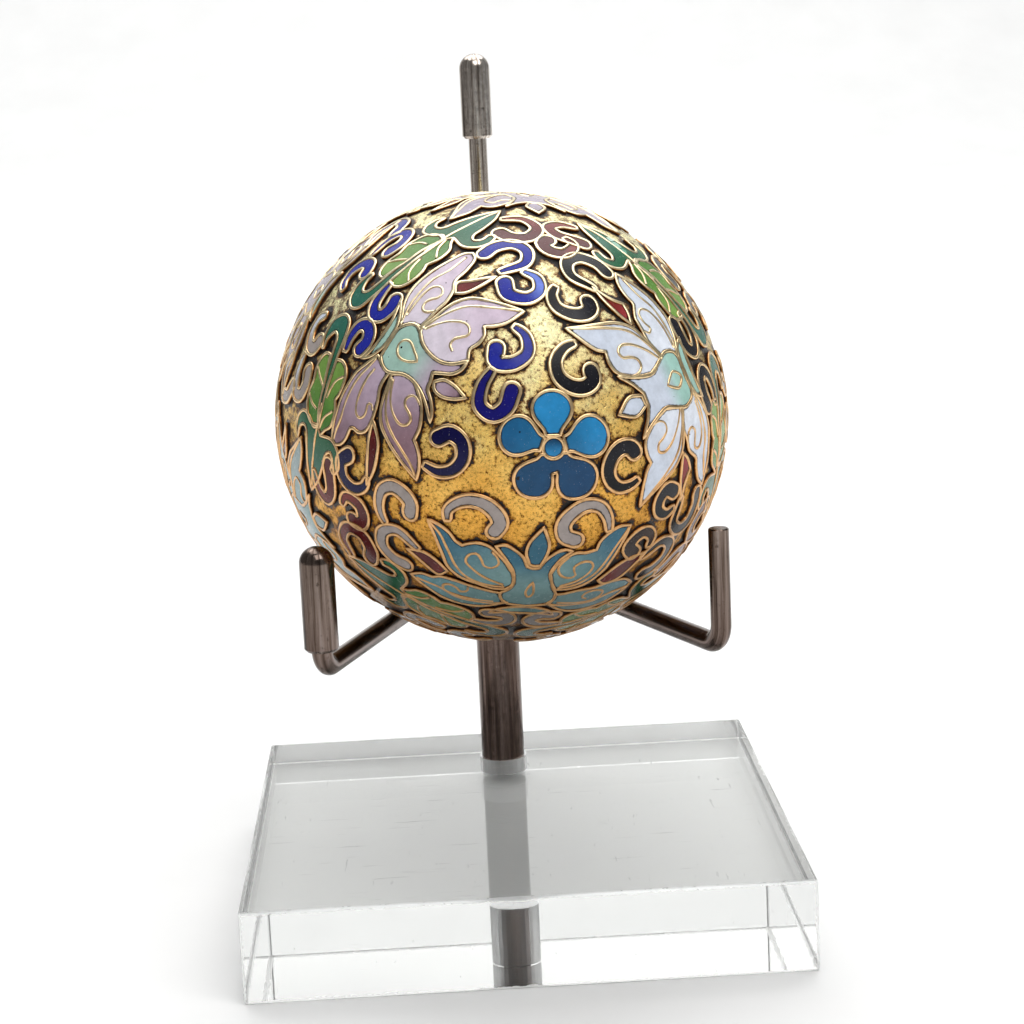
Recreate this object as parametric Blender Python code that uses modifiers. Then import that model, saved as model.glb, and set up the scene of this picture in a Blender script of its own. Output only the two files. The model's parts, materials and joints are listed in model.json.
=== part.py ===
"""Cloisonne egg lying end-on in a bent-wire cradle that stands in a clear block.

Metres, +Z up. The origin is the middle of the block's underside, +X is to the right and
the egg's blunt end, with the flower, faces -Y. The egg only rests in the cradle, against
two arms and the back rod, so it is a piece of its own that can be lifted away.
"""
import math

import bpy
import bmesh
import numpy as np
from mathutils import Matrix, Vector
from mathutils.geometry import tessellate_polygon

MM = 0.001

# Clear block
BLOCK_WIDTH = 76.2 * MM
BLOCK_DEPTH = 76.2 * MM
BLOCK_HEIGHT = 12.7 * MM
BLOCK_EDGE = 0.35 * MM
HOLE_DEPTH = 9.0 * MM
HOLE_FIT = 0.32 * MM

# Post: a thin tube with the ends of the three wires in it
POST_FROM_BACK = 12.1 * MM
POST_ASIDE = -0.9 * MM
POST_WALL = 0.25 * MM
WIRE_IN_POST = 15.0 * MM
SEAT_GAP = 0.3 * MM

# Wires
WIRE_DIAMETER = 2.7 * MM
WIRE_GAP = 0.12 * MM
BORE_FIT = 0.1 * MM
BEND_RADIUS = 2.9 * MM
BUNDLE_TURN = math.radians(-22.0)
ARM_HEIGHT = 44.4 * MM
ARM_REACH = 67.1 * MM
LEFT_ARM_TURN = math.radians(21.1)
RIGHT_ARM_TURN = math.radians(24.2)
LEFT_ARM_RISE = 14.7 * MM
RIGHT_ARM_RISE = 15.6 * MM
ROD_TOP = 119.4 * MM

# Caps pushed over the wires' ends
CAP_DIAMETER = 4.5 * MM
CAP_FIT = 0.15 * MM
CAP_END_WALL = 1.3 * MM
CAP_DOME = 2.2 * MM
CAP_RIM_ROUND = 0.4 * MM
LEFT_CAP_LENGTH = 13.7 * MM
BACK_CAP_LENGTH = 12.5 * MM

# Egg, measured over the tops of its raised cells
EGG_RADIUS = 30.2 * MM
EGG_HALF_LENGTH = 38.1 * MM
EGG_TAPER = 0.08
EGG_TURN = math.radians(8.6)
EGG_TILT = math.radians(2.0)
EGG_ASIDE = -0.6 * MM
RELIEF = 0.8 * MM
REST_GAP = 0.3 * MM

# How finely the round shapes are cut
EGG_SEGMENTS = 30
EGG_RINGS = 20
WIRE_SIDES = 10
POST_SIDES = 32
CAP_SIDES = 16
DOME_STEPS = 4
PETAL_STEPS = 2
BEND_STEPS = 5
BEVEL_SEGMENTS = 2
SHARP_ANGLE = math.radians(35.0)
MERGE_DISTANCE = 0.01 * MM

# Tools of the egg's modelling: reach of the cutting prisms as shares of the distance from the
# egg's middle, a small angle for tangents and poles, and how finely the seat is searched
PRISM_FROM = 0.86
PRISM_TO = 1.22
SMALL_ANGLE = 0.001
SURFACE_STEPS = 180
HALVINGS = 30
SETTLE_ROUNDS = 3

# The lotus, right half, in mm: bud tip, foot, lower petal, spike, upper petal and crown
LOTUS_HALF = [
    (0.0, -11.0), (1.2, -8.7), (0.8, -6.3), (4.3, -8.7), (3.2, -6.6), (6.2, -8.1), (7.7, -7.2),
    (12.5, -9.7), (9.0, -2.2), (13.9, -3.3), (10.6, 0.0), (14.0, 0.7), (15.5, 2.2), (10.0, 4.4),
    (6.5, 4.6), (2.6, 2.6), (4.1, 4.8), (1.5, 4.1),
]
# One leaf branch beside a lotus's crown, in the lotus's own mm
LEAF = [
    (5.9, 13.5), (2.4, 14.4), (0.7, 12.4), (2.0, 10.0), (6.0, 9.1), (6.0, 7.0), (8.0, 5.7),
    (15.0, 6.0), (15.6, 3.8), (19.6, 2.7), (17.4, 5.2), (24.8, 8.2), (16.8, 10.3),
    (18.4, 13.2), (14.8, 13.2), (14.4, 11.4), (6.6, 12.8), (8.6, 10.2), (4.0, 11.2),
]
# Scrolls as middle lines in mm, from the thin end to the round end, beside a lotus
INNER_SCROLL = [(10.7, -10.4), (10.0, -13.2), (7.4, -14.2), (5.4, -12.2), (6.6, -10.6)]
OUTER_SCROLL = [(15.6, -3.9), (19.2, -3.8), (20.3, -1.4), (18.6, 0.9), (16.4, 0.8)]
BUD_SCROLL = [(4.2, -12.5), (1.6, -13.4), (1.6, -15.9), (4.0, -16.7), (5.4, -15.8)]
SCROLL_WIDTHS = (1.3, 2.0)
# Places of the lotuses in degrees: angle from the blunt end, azimuth, and size
INNER_LOTUSES = [(35.5, 20.1, 1.0), (40.3, 142.1, 1.0), (36.9, 262.9, 1.0)]
BELT_LOTUSES = [(79.0, 82.0, 0.92), (79.0, 201.5, 0.92), (79.0, 321.5, 0.92)]
BELT_LOTUSES_BACK = [(86.5, 22.0, 0.92), (86.5, 142.0, 0.92), (86.5, 262.0, 0.92)]
INNER_LOTUSES_BACK = [(136.0, 82.0, 1.0), (136.0, 202.0, 1.0), (136.0, 322.0, 1.0)]
THIRD = math.radians(120.0)

PETALS = 5
PETAL_RADIUS = 2.3
PETAL_REACH = 4.25
PETAL_VALLEY = 1.6
PETAL_SWEEP = math.radians(112.0)
PETAL_TURN = math.radians(34.0)


def collection(name):
    """A collection linked to the scene."""
    made = bpy.data.collections.new(name)
    bpy.context.scene.collection.children.link(made)
    return made


def material(name, colour, roughness, metallic, alpha=1.0):
    """A Principled material with plain values."""
    made = bpy.data.materials.new(name)
    made.use_nodes = True
    shader = made.node_tree.nodes["Principled BSDF"]
    shader.inputs["Base Color"].default_value = (*colour, 1.0)
    shader.inputs["Roughness"].default_value = roughness
    shader.inputs["Metallic"].default_value = metallic
    shader.inputs["Alpha"].default_value = alpha
    return made


def add_object(name, mesh, home, finish=None):
    """An object of a mesh or curve in the given collection."""
    made = bpy.data.objects.new(name, mesh)
    home.objects.link(made)
    if finish is not None:
        mesh.materials.append(finish)
    return made


def bmesh_object(name, shape, home, finish=None):
    """Turn a finished bmesh into an object and free it."""
    mesh = bpy.data.meshes.new(name)
    shape.to_mesh(mesh)
    shape.free()
    return add_object(name, mesh, home, finish)


def cutter(name, shape, home):
    """A bmesh as a hidden tool for Booleans."""
    tool = bmesh_object(name, shape, home)
    tool.hide_render = True
    tool.display_type = "WIRE"
    return tool


def boolean(target, tool, operation):
    """An exact Boolean modifier."""
    step = target.modifiers.new(operation.title(), "BOOLEAN")
    step.operation = operation
    step.object = tool
    step.solver = "EXACT"
    step.use_self = True
    return step


def cylinder(radius, low, high, sides):
    """An upright closed cylinder on the Z axis, as a bmesh."""
    shape = bmesh.new()
    bmesh.ops.create_cone(shape, cap_ends=True, segments=sides, radius1=radius, radius2=radius,
                          depth=high - low, matrix=Matrix.Translation((0, 0, (low + high) / 2)))
    return shape


def round_shading(piece):
    """Smooth shading, kept sharp at real edges."""
    piece.data.shade_smooth()
    piece.data.set_sharp_from_angle(angle=SHARP_ANGLE)


# Sizes that follow from the driving ones
wire_radius = WIRE_DIAMETER / 2
bundle_radius = (WIRE_DIAMETER + WIRE_GAP) / math.sqrt(3.0)
bore_radius = bundle_radius + wire_radius + BORE_FIT
post_radius = bore_radius + POST_WALL
hole_radius = post_radius + HOLE_FIT
post_axis = Vector((POST_ASIDE, BLOCK_DEPTH / 2 - POST_FROM_BACK, 0.0))
hole_floor = BLOCK_HEIGHT - HOLE_DEPTH
post_foot = hole_floor + SEAT_GAP
post_top = ARM_HEIGHT - BEND_RADIUS - SEAT_GAP
wire_foot = post_top - WIRE_IN_POST
rod_turn = math.pi / 2 + BUNDLE_TURN


def in_bundle(step):
    """Foot of one of the three wires, packed around the post's axis."""
    angle = rod_turn + step * THIRD
    return post_axis + Vector((math.cos(angle), math.sin(angle), 0.0)) * bundle_radius


def arm_corner(turn):
    """Where an arm's straight run would meet its upright end, for a turn from -Y."""
    return post_axis + Vector((math.sin(turn), -math.cos(turn), 0.0)) * ARM_REACH


def bend(corner, before, after, radius):
    """Points of the arc that rounds a square corner between two unit directions."""
    start = corner - before * radius
    centre = start + after * radius
    points = []
    for step in range(BEND_STEPS + 1):
        angle = math.pi / 2 * step / BEND_STEPS
        points.append(centre - after * radius * math.cos(angle) + before * radius * math.sin(angle))
    return points


def wire_route(foot, corner, rise):
    """Middle line of an arm: up out of the post, out level to the corner, up to its end."""
    up = Vector((0.0, 0.0, 1.0))
    out = (Vector((corner.x, corner.y, 0.0)) - foot).normalized()
    level = Vector((0.0, 0.0, ARM_HEIGHT))
    route = [foot + up * wire_foot]
    route += bend(foot + level, up, out, BEND_RADIUS)
    route += bend(Vector((corner.x, corner.y, ARM_HEIGHT)), out, up, BEND_RADIUS)
    route.append(Vector((corner.x, corner.y, ARM_HEIGHT + rise)))
    return route


def wire(name, route, home, finish):
    """A round wire along a route, as a beveled curve with filled caps."""
    curve = bpy.data.curves.new(name, "CURVE")
    curve.dimensions = "3D"
    curve.bevel_depth = wire_radius
    curve.bevel_resolution = WIRE_SIDES // 2 - 2  # Blender gives 2 * resolution + 4 sides
    curve.use_fill_caps = True
    line = curve.splines.new("POLY")
    line.points.add(len(route) - 1)
    for point, place in zip(line.points, route):
        point.co = (*place, 1.0)
    return add_object(name, curve, home, finish)


def make_block(parts, tools, finish):
    """The clear block with its blind hole for the post."""
    shape = bmesh.new()
    bmesh.ops.create_cube(shape, size=1.0)
    bmesh.ops.scale(shape, vec=(BLOCK_WIDTH, BLOCK_DEPTH, BLOCK_HEIGHT), verts=shape.verts)
    bmesh.ops.translate(shape, vec=(0, 0, BLOCK_HEIGHT / 2), verts=shape.verts)
    block = bmesh_object("base_block", shape, parts, finish)
    edge = block.modifiers.new("Edges", "BEVEL")
    edge.width = BLOCK_EDGE
    edge.segments = BEVEL_SEGMENTS
    hole = cutter("post_hole", cylinder(hole_radius, hole_floor, BLOCK_HEIGHT + HOLE_DEPTH,
                                        POST_SIDES), tools)
    hole.location = post_axis
    boolean(block, hole, "DIFFERENCE")
    return block


def make_post(parts, tools, finish):
    """The tube: a cylinder drilled right through for the wires."""
    post = bmesh_object("post", cylinder(post_radius, post_foot, post_top, POST_SIDES), parts, finish)
    post.location = post_axis
    bore = cutter("post_bore", cylinder(bore_radius, post_foot - HOLE_DEPTH, post_top + HOLE_DEPTH,
                                        POST_SIDES), tools)
    bore.location = post_axis
    boolean(post, bore, "DIFFERENCE")
    round_shading(post)
    return post


def cap_profile(length):
    """Half section of a cap, closed end up, from the tip of the dome round to the bore's end."""
    radius = CAP_DIAMETER / 2
    bore = wire_radius + CAP_FIT
    dome = [(radius * math.sin(a), length - CAP_DOME + CAP_DOME * math.cos(a))
            for a in (math.pi / 2 * i / DOME_STEPS for i in range(DOME_STEPS + 1))]
    rim = min(CAP_RIM_ROUND, (radius - bore) / 2)
    return dome + [(radius, rim), (radius - rim, 0.0), (bore, 0.0),
                   (bore, length - CAP_END_WALL), (0.0, length - CAP_END_WALL)]


def make_cap(name, place, length, parts, finish):
    """A turned cap: its half section spun about Z by a Screw modifier."""
    shape = bmesh.new()
    corners = [shape.verts.new((x, 0.0, z)) for x, z in cap_profile(length)]
    for first, second in zip(corners, corners[1:]):
        shape.edges.new((first, second))
    cap = bmesh_object(name, shape, parts, finish)
    spin = cap.modifiers.new("Turned", "SCREW")
    spin.axis = "Z"
    spin.steps = CAP_SIDES
    spin.render_steps = CAP_SIDES
    spin.use_merge_vertices = True
    spin.merge_threshold = MERGE_DISTANCE
    cap.location = place
    return cap


def egg_axes():
    """Side, up and blunt-end directions of the egg, as columns of a turn."""
    out = Vector((math.sin(EGG_TURN) * math.cos(EGG_TILT),
                  -math.cos(EGG_TURN) * math.cos(EGG_TILT), math.sin(EGG_TILT)))
    side = Vector((0.0, 0.0, 1.0)).cross(out).normalized()
    return Matrix((side, out.cross(side), out)).transposed()


def egg_points(unit, sink=0.0):
    """Points of the egg for unit vectors (side, up, out): round across, tapered along."""
    across = (EGG_RADIUS - sink) * (1.0 + EGG_TAPER * unit[..., 2:])
    return np.concatenate([unit[..., :2] * across, unit[..., 2:] * (EGG_HALF_LENGTH - sink)], axis=-1)


def egg_units(points):
    """The unit vectors whose egg points lie in the same direction as the given points."""
    out = points[..., 2:] / EGG_HALF_LENGTH
    across = EGG_RADIUS * (1.0 + EGG_TAPER * out)
    unit = np.concatenate([points[..., :2] / across, out], axis=-1)
    return unit / np.linalg.norm(unit, axis=-1, keepdims=True)


def spot_frame(polar, azimuth):
    """A place on the egg with two tangents: along the ring and away from the blunt end."""
    def at(p, a):
        unit = np.array([math.sin(p) * math.cos(a), math.sin(p) * math.sin(a), math.cos(p)])
        return egg_points(unit)
    away = at(polar + SMALL_ANGLE, azimuth) - at(polar - SMALL_ANGLE, azimuth)
    away /= np.linalg.norm(away)
    ring = at(polar, azimuth + SMALL_ANGLE) - at(polar, azimuth - SMALL_ANGLE)
    ring /= np.linalg.norm(ring)
    return at(polar, azimuth), -ring, away


def wrap(drawing, frame, size=1.0, flip=False, mirror=False):
    """Lay a flat drawing in mm on the egg around a place, without stretching it much."""
    place, ring, away = frame
    across = np.array([x for x, y in drawing]) * (size * MM) * (-1.0 if mirror else 1.0)
    along = np.array([y for x, y in drawing]) * (size * MM) * (-1.0 if flip else 1.0)
    reach = np.maximum(np.hypot(across, along), 1e-9)
    angle = reach / EGG_RADIUS
    inward = -np.cross(ring, away)
    if inward @ place > 0:
        inward = -inward
    flat = np.sin(angle) / reach * EGG_RADIUS
    points = (place + (across * flat)[:, None] * ring + (along * flat)[:, None] * away
              + ((1.0 - np.cos(angle)) * EGG_RADIUS)[:, None] * inward)
    return egg_units(points)


def lotus_outline():
    """Both halves of the lotus, from the bud tip round to the crown and back."""
    return LOTUS_HALF + [(-x, y) for x, y in reversed(LOTUS_HALF[1:])]


def flower_outline():
    """Round petals about a centre, met by short valleys."""
    points = []
    for petal in range(PETALS):
        middle = PETAL_TURN + petal * 2 * math.pi / PETALS
        for step in range(-PETAL_STEPS, PETAL_STEPS + 1):
            angle = middle + step * PETAL_SWEEP / PETAL_STEPS
            points.append((PETAL_REACH * math.cos(middle) + PETAL_RADIUS * math.cos(angle),
                           PETAL_REACH * math.sin(middle) + PETAL_RADIUS * math.sin(angle)))
        valley = middle + math.pi / PETALS
        points.append((PETAL_VALLEY * math.cos(valley), PETAL_VALLEY * math.sin(valley)))
    return points


def scroll_outline(line):
    """A band along a scroll's middle line that widens to a round end."""
    places = [Vector(p) for p in line]
    thin, wide = SCROLL_WIDTHS
    left, right = [], []
    for i, place in enumerate(places):
        along = (places[min(i + 1, len(places) - 1)] - places[max(i - 1, 0)]).normalized()
        width = thin + (wide - thin) * i / (len(places) - 1)
        across = Vector((-along.y, along.x)) * (width / 2)
        left.append(tuple(place + across))
        right.append(tuple(place - across))
    end = (places[-1] - places[-2]).normalized() * (wide / 2)
    return left + [tuple(places[-1] + end)] + right[::-1]


def raised_outlines():
    """Outlines of all raised motifs as unit vectors of the egg."""
    found = []

    def lotus_group(places, flip, scrolls, leaves):
        for polar, azimuth, size in places:
            frame = spot_frame(math.radians(polar), math.radians(azimuth))
            found.append(wrap(lotus_outline(), frame, size, flip))
            for mirror in (False, True):
                for line in scrolls:
                    found.append(wrap(scroll_outline(line), frame, size, flip, mirror))
                if leaves:
                    found.append(wrap(LEAF, frame, size, flip, mirror))

    lotus_group(INNER_LOTUSES, False, [INNER_SCROLL, OUTER_SCROLL], True)
    lotus_group(BELT_LOTUSES, False, [BUD_SCROLL], False)
    lotus_group(BELT_LOTUSES_BACK, True, [], False)
    lotus_group(INNER_LOTUSES_BACK, True, [], True)
    for pole in (SMALL_ANGLE, math.pi - SMALL_ANGLE):
        found.append(wrap(flower_outline(), spot_frame(pole, 0.0)))
    return found


def radial_prisms(outlines):
    """One closed prism for each outline, its walls pointing at the egg's middle."""
    shape = bmesh.new()
    for unit in outlines:
        points = egg_points(unit)
        rays = points / np.linalg.norm(points, axis=1, keepdims=True)
        middle = rays.mean(axis=0)
        middle /= np.linalg.norm(middle)
        side = np.array(Vector(middle).orthogonal().normalized())
        over = np.cross(middle, side)
        flat = rays / (rays @ middle)[:, None]
        drawing = [Vector((p @ side, p @ over, 0.0)) for p in flat]
        inner = [shape.verts.new(p) for p in points * PRISM_FROM]
        outer = [shape.verts.new(p) for p in points * PRISM_TO]
        count = len(points)
        for a, b, c in tessellate_polygon([drawing]):
            shape.faces.new((outer[a], outer[b], outer[c]))
            shape.faces.new((inner[c], inner[b], inner[a]))
        for i in range(count):
            j = (i + 1) % count
            shape.faces.new((inner[i], inner[j], outer[j], outer[i]))
    bmesh.ops.recalc_face_normals(shape, faces=shape.faces)
    return shape


def egg_shape(sink):
    """A UV sphere drawn out into the egg, its poles at the two ends."""
    shape = bmesh.new()
    bmesh.ops.create_uvsphere(shape, u_segments=EGG_SEGMENTS, v_segments=EGG_RINGS, radius=1.0)
    for vertex in shape.verts:
        vertex.co = egg_points(np.array(vertex.co), sink)
    return shape


def gap_to_line(centre, turn, start, end):
    """Least distance from the egg's surface to the middle line of a straight wire."""
    down = np.linspace(0.0, math.pi, SURFACE_STEPS)
    around = np.linspace(0.0, 2 * math.pi, 2 * SURFACE_STEPS)
    polar, azimuth = np.meshgrid(down, around, indexing="ij")
    unit = np.stack([np.sin(polar) * np.cos(azimuth), np.sin(polar) * np.sin(azimuth),
                     np.cos(polar)], axis=-1).reshape(-1, 3)
    surface = egg_points(unit) @ np.array(turn).T + np.array(centre)
    start, end = np.array(start), np.array(end)
    run = (end - start) / np.linalg.norm(end - start)
    along = np.clip((surface - start) @ run, 0.0, np.linalg.norm(end - start))
    return np.linalg.norm(surface - start - along[:, None] * run, axis=1).min()


def settle(too_near, low, high):
    """Halve a range down to the lowest value at which nothing is too near."""
    for _ in range(HALVINGS):
        middle = (low + high) / 2
        if too_near(middle):
            low = middle
        else:
            high = middle
    return high


def rest_place(turn):
    """Middle of the egg where it rests on both arms and leans on the back rod."""
    least = wire_radius + REST_GAP
    up = Vector((0.0, 0.0, ARM_HEIGHT))
    arms = [(in_bundle(1) + up, arm_corner(-LEFT_ARM_TURN) + up),
            (in_bundle(2) + up, arm_corner(RIGHT_ARM_TURN) + up)]
    rod = (in_bundle(0), in_bundle(0) + Vector((0.0, 0.0, ROD_TOP)))
    place = Vector((EGG_ASIDE, 0.0, ARM_HEIGHT + EGG_RADIUS))

    def on_an_arm(height):
        return min(gap_to_line((place.x, place.y, height), turn, *arm) for arm in arms) < least

    def on_the_rod(forward):
        return gap_to_line((place.x, post_axis.y - forward, place.z), turn, *rod) < least

    for _ in range(SETTLE_ROUNDS):
        place.z = settle(on_an_arm, ARM_HEIGHT, ARM_HEIGHT + 2 * EGG_RADIUS)
        place.y = post_axis.y - settle(on_the_rod, 0.0, 2 * EGG_HALF_LENGTH)
    return place


def make_egg(parts, tools, finish):
    """The ground with the raised motifs: prisms cut to the outer egg and joined to it."""
    turn = egg_axes()
    place = Matrix.Translation(rest_place(turn)) @ turn.to_4x4()
    motifs = cutter("raised_motifs", radial_prisms(raised_outlines()), tools)
    outer = cutter("outer_egg", egg_shape(0.0), tools)
    egg = bmesh_object("egg", egg_shape(RELIEF), parts, finish)
    for piece in (motifs, outer, egg):
        piece.matrix_world = place
    boolean(motifs, outer, "INTERSECT")
    boolean(egg, motifs, "UNION")
    return egg


def build():
    """All pieces, from the block up to the egg."""
    for old in list(bpy.data.objects):
        bpy.data.objects.remove(old, do_unlink=True)
    parts = collection("Cloisonne egg on stand")
    tools = collection("Cutters")
    acrylic = material("Clear acrylic", colour=(0.93, 0.93, 0.92), roughness=0.05, metallic=0.0,
                       alpha=0.35)
    nickel = material("Nickel-plated wire", colour=(0.62, 0.57, 0.52), roughness=0.22, metallic=1.0)
    enamel = material("Gilt ground with enamel cells", colour=(0.70, 0.46, 0.16), roughness=0.4,
                      metallic=0.7)

    make_block(parts, tools, acrylic)
    make_post(parts, tools, nickel)
    left, right = arm_corner(-LEFT_ARM_TURN), arm_corner(RIGHT_ARM_TURN)
    wire("left_arm", wire_route(in_bundle(1), left, LEFT_ARM_RISE), parts, nickel)
    wire("right_arm", wire_route(in_bundle(2), right, RIGHT_ARM_RISE), parts, nickel)
    rod = in_bundle(0)
    up = Vector((0.0, 0.0, 1.0))
    wire("back_rod", [rod + up * wire_foot, rod + up * ROD_TOP], parts, nickel)
    into_cap = CAP_END_WALL + SEAT_GAP
    left_end = left + up * (ARM_HEIGHT + LEFT_ARM_RISE + into_cap - LEFT_CAP_LENGTH)
    make_cap("left_cap", left_end, LEFT_CAP_LENGTH, parts, nickel)
    rod_end = rod + up * (ROD_TOP + into_cap - BACK_CAP_LENGTH)
    make_cap("back_cap", rod_end, BACK_CAP_LENGTH, parts, nickel)
    make_egg(parts, tools, enamel)


build()
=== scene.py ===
# %% [markdown]
# # A cloisonne egg in its wire cradle
#
# The real object is a hollow copper egg about 76 mm long. Thin wires are soldered on edge all over
# it, each fenced cell is filled with glass paste and fired, and the open ground between the cells
# is gilded. It lies end-on in a cradle of three bent wires that stand in a clear acrylic block.
#
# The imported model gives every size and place. The clear block only gets its finish here. The round
# metal of the stand is drawn again with smooth sections, and the egg's relief, which is finer than
# the solid can hold, is made as three kinds of surface: gilt ground, wires and enamel.

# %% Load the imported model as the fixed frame
import json
import math

import bpy
import numpy as np
from mathutils import Matrix, Vector, kdtree
from mathutils.geometry import delaunay_2d_cdt

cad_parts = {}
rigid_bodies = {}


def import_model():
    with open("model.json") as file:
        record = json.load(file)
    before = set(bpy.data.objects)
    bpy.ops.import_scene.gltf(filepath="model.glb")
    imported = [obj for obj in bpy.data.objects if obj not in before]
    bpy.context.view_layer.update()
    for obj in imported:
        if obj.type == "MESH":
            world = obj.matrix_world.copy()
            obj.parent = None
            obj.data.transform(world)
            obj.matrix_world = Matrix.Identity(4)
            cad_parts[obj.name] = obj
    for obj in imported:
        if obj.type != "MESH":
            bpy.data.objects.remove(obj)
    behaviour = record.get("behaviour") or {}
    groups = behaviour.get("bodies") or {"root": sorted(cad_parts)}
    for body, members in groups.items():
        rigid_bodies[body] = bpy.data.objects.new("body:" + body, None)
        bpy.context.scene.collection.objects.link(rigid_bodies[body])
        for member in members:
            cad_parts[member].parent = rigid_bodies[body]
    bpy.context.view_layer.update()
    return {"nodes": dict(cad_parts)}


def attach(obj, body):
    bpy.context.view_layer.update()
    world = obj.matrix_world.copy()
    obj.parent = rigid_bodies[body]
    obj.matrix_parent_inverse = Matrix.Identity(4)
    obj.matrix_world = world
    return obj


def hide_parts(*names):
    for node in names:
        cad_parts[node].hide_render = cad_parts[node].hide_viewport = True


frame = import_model()
nodes = frame["nodes"]
MM = 0.001
print("CAD nodes:", sorted(nodes))


# %% [markdown]
# ## Small helpers for colours, nodes and meshes
#
# A colour picked from a photograph is an sRGB code, but a renderer adds light, which needs linear
# values, so one function turns codes into linear colours. Another adds a shader node with its
# settings and links in one call, so that a material reads from top to bottom as a recipe.

# %% Colour, node and mesh helpers
def linear(code):
    """Linear red, green, blue and 1 of an sRGB hex code: the standard curve with its straight foot."""
    value = np.array([int(code[i:i + 2], 16) for i in (1, 3, 5)]) / 255.0
    value = np.where(value <= 0.04045, value / 12.92, ((value + 0.055) / 1.055) ** 2.4)
    return (*value.tolist(), 1.0)


def set_inputs(tree, node, inputs):
    """Plain values, or links from other nodes' outputs, on a node's sockets by name or number."""
    for name, value in inputs.items():
        if isinstance(value, bpy.types.NodeSocket):
            tree.links.new(value, node.inputs[name])
        else:
            node.inputs[name].default_value = value


def add(tree, kind, inputs=None, **settings):
    """A shader node with its settings and its inputs."""
    made = tree.nodes.new(kind)
    for name, value in settings.items():
        setattr(made, name, value)
    set_inputs(tree, made, inputs or {})
    return made


def blank_material(name):
    """A material with its tree, its Principled shader and its Object coordinates."""
    made = bpy.data.materials.new(name)
    made.use_nodes = True
    tree = made.node_tree
    return made, tree, tree.nodes["Principled BSDF"], add(tree, "ShaderNodeTexCoord").outputs["Object"]


def ramp(tree, factor, *stops):
    """A colour ramp through (position, sRGB code or grey number) stops."""
    made = add(tree, "ShaderNodeValToRGB", {"Fac": factor})
    line = made.color_ramp.elements
    while len(line) < len(stops):
        line.new(0.5)
    for stop, (place, value) in zip(line, stops):
        stop.position = place
        stop.color = linear(value) if isinstance(value, str) else (value, value, value, 1.0)
    return made.outputs["Color"]


def noise(tree, where, size_mm, detail=3.0, roughness=0.5, distortion=0.0):
    """Noise whose blotches are about size_mm across, on coordinates in metres."""
    return add(tree, "ShaderNodeTexNoise", {
        "Vector": where, "Scale": 1.0 / (size_mm * MM), "Detail": detail, "Roughness": roughness,
        "Distortion": distortion}).outputs["Fac"]


def mixed(tree, factor, first, second, blend="MIX"):
    """Two colours mixed by a factor; the node's colour sockets have these numbers."""
    return add(tree, "ShaderNodeMix", {0: factor, 6: first, 7: second}, data_type="RGBA",
               blend_type=blend).outputs[2]


def sums(tree, operation, first, second=0.0, clamp=False):
    """A Math node on values or outputs."""
    return add(tree, "ShaderNodeMath", {0: first, 1: second}, operation=operation,
               use_clamp=clamp).outputs[0]


def attribute(tree, name, output="Fac"):
    """A mesh attribute as a shader value."""
    return add(tree, "ShaderNodeAttribute", attribute_name=name).outputs[output]


def centred(tree, value, scale):
    """A value from 0 to 1 moved to have its middle at 0, and scaled."""
    return sums(tree, "MULTIPLY", sums(tree, "SUBTRACT", value, 0.5), scale)


def shaded(tree, colour, shade):
    """A colour multiplied by a shade."""
    return mixed(tree, 1.0, colour, shade, "MULTIPLY")


def bump_from(tree, height, strength, distance_mm):
    """A normal bent by a height, whose full range stands for distance_mm."""
    return add(tree, "ShaderNodeBump", {"Height": height, "Strength": strength,
                                        "Distance": distance_mm * MM}).outputs["Normal"]


def grid_faces(rows, columns, round_rows=False, round_columns=False):
    """Four-sided faces between neighbours on a grid of points; a way that goes round closes on itself."""
    row = np.arange(rows if round_rows else rows - 1)[:, None]
    column = np.arange(columns if round_columns else columns - 1)
    here, below = row * columns, (row + 1) % rows * columns
    beside = (column + 1) % columns
    return np.stack([here + column, here + beside, below + beside, below + column],
                    axis=-1).reshape(-1, 4)


def surface(name, points, faces, finish):
    """A smooth mesh object from arrays, with its material."""
    mesh = bpy.data.meshes.new(name)
    mesh.from_pydata(points.tolist(), [], faces if isinstance(faces, list) else faces.tolist())
    mesh.materials.append(finish)
    mesh.shade_smooth()
    made = bpy.data.objects.new(name, mesh)
    bpy.context.scene.collection.objects.link(made)
    return made


# The order of a face's corners that points it the other way and keeps its first corner
OTHER_WAY = [0, 3, 2, 1]


def make_piece(name, points, faces, finish, values=None, colours=None):
    """A surface that rides on the stand, with float and colour attributes on its points."""
    made = surface(name, points, faces, finish)
    mesh = made.data
    for key, value in (values or {}).items():
        layer = mesh.attributes.new(key, "FLOAT", "POINT")
        layer.data.foreach_set("value", np.asarray(value, dtype=np.float32))
    for key, value in (colours or {}).items():
        layer = mesh.attributes.new(key, "FLOAT_COLOR", "POINT")
        layer.data.foreach_set("color", np.asarray(value, dtype=np.float32).ravel())
    mesh.update()
    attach(made, "root")
    print(f"{name}: {len(points)} points, {sum(len(p.vertices) - 2 for p in mesh.polygons)} triangles")
    return made


# %% [markdown]
# ## The camera
#
# The view was found by fitting a pinhole camera to the corners of the clear block: the lens is
# long, a third of a metre away, a little above the egg and looking slightly down.

# %% Camera
CAMERA_PLACE = Vector((-9.70, -331.30, 122.10)) * MM
CAMERA_YAW = 0.0334
CAMERA_PITCH = -0.1953
CAMERA_ROLL = 0.0463
LENS = 83.04
SENSOR = 36.0

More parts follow.
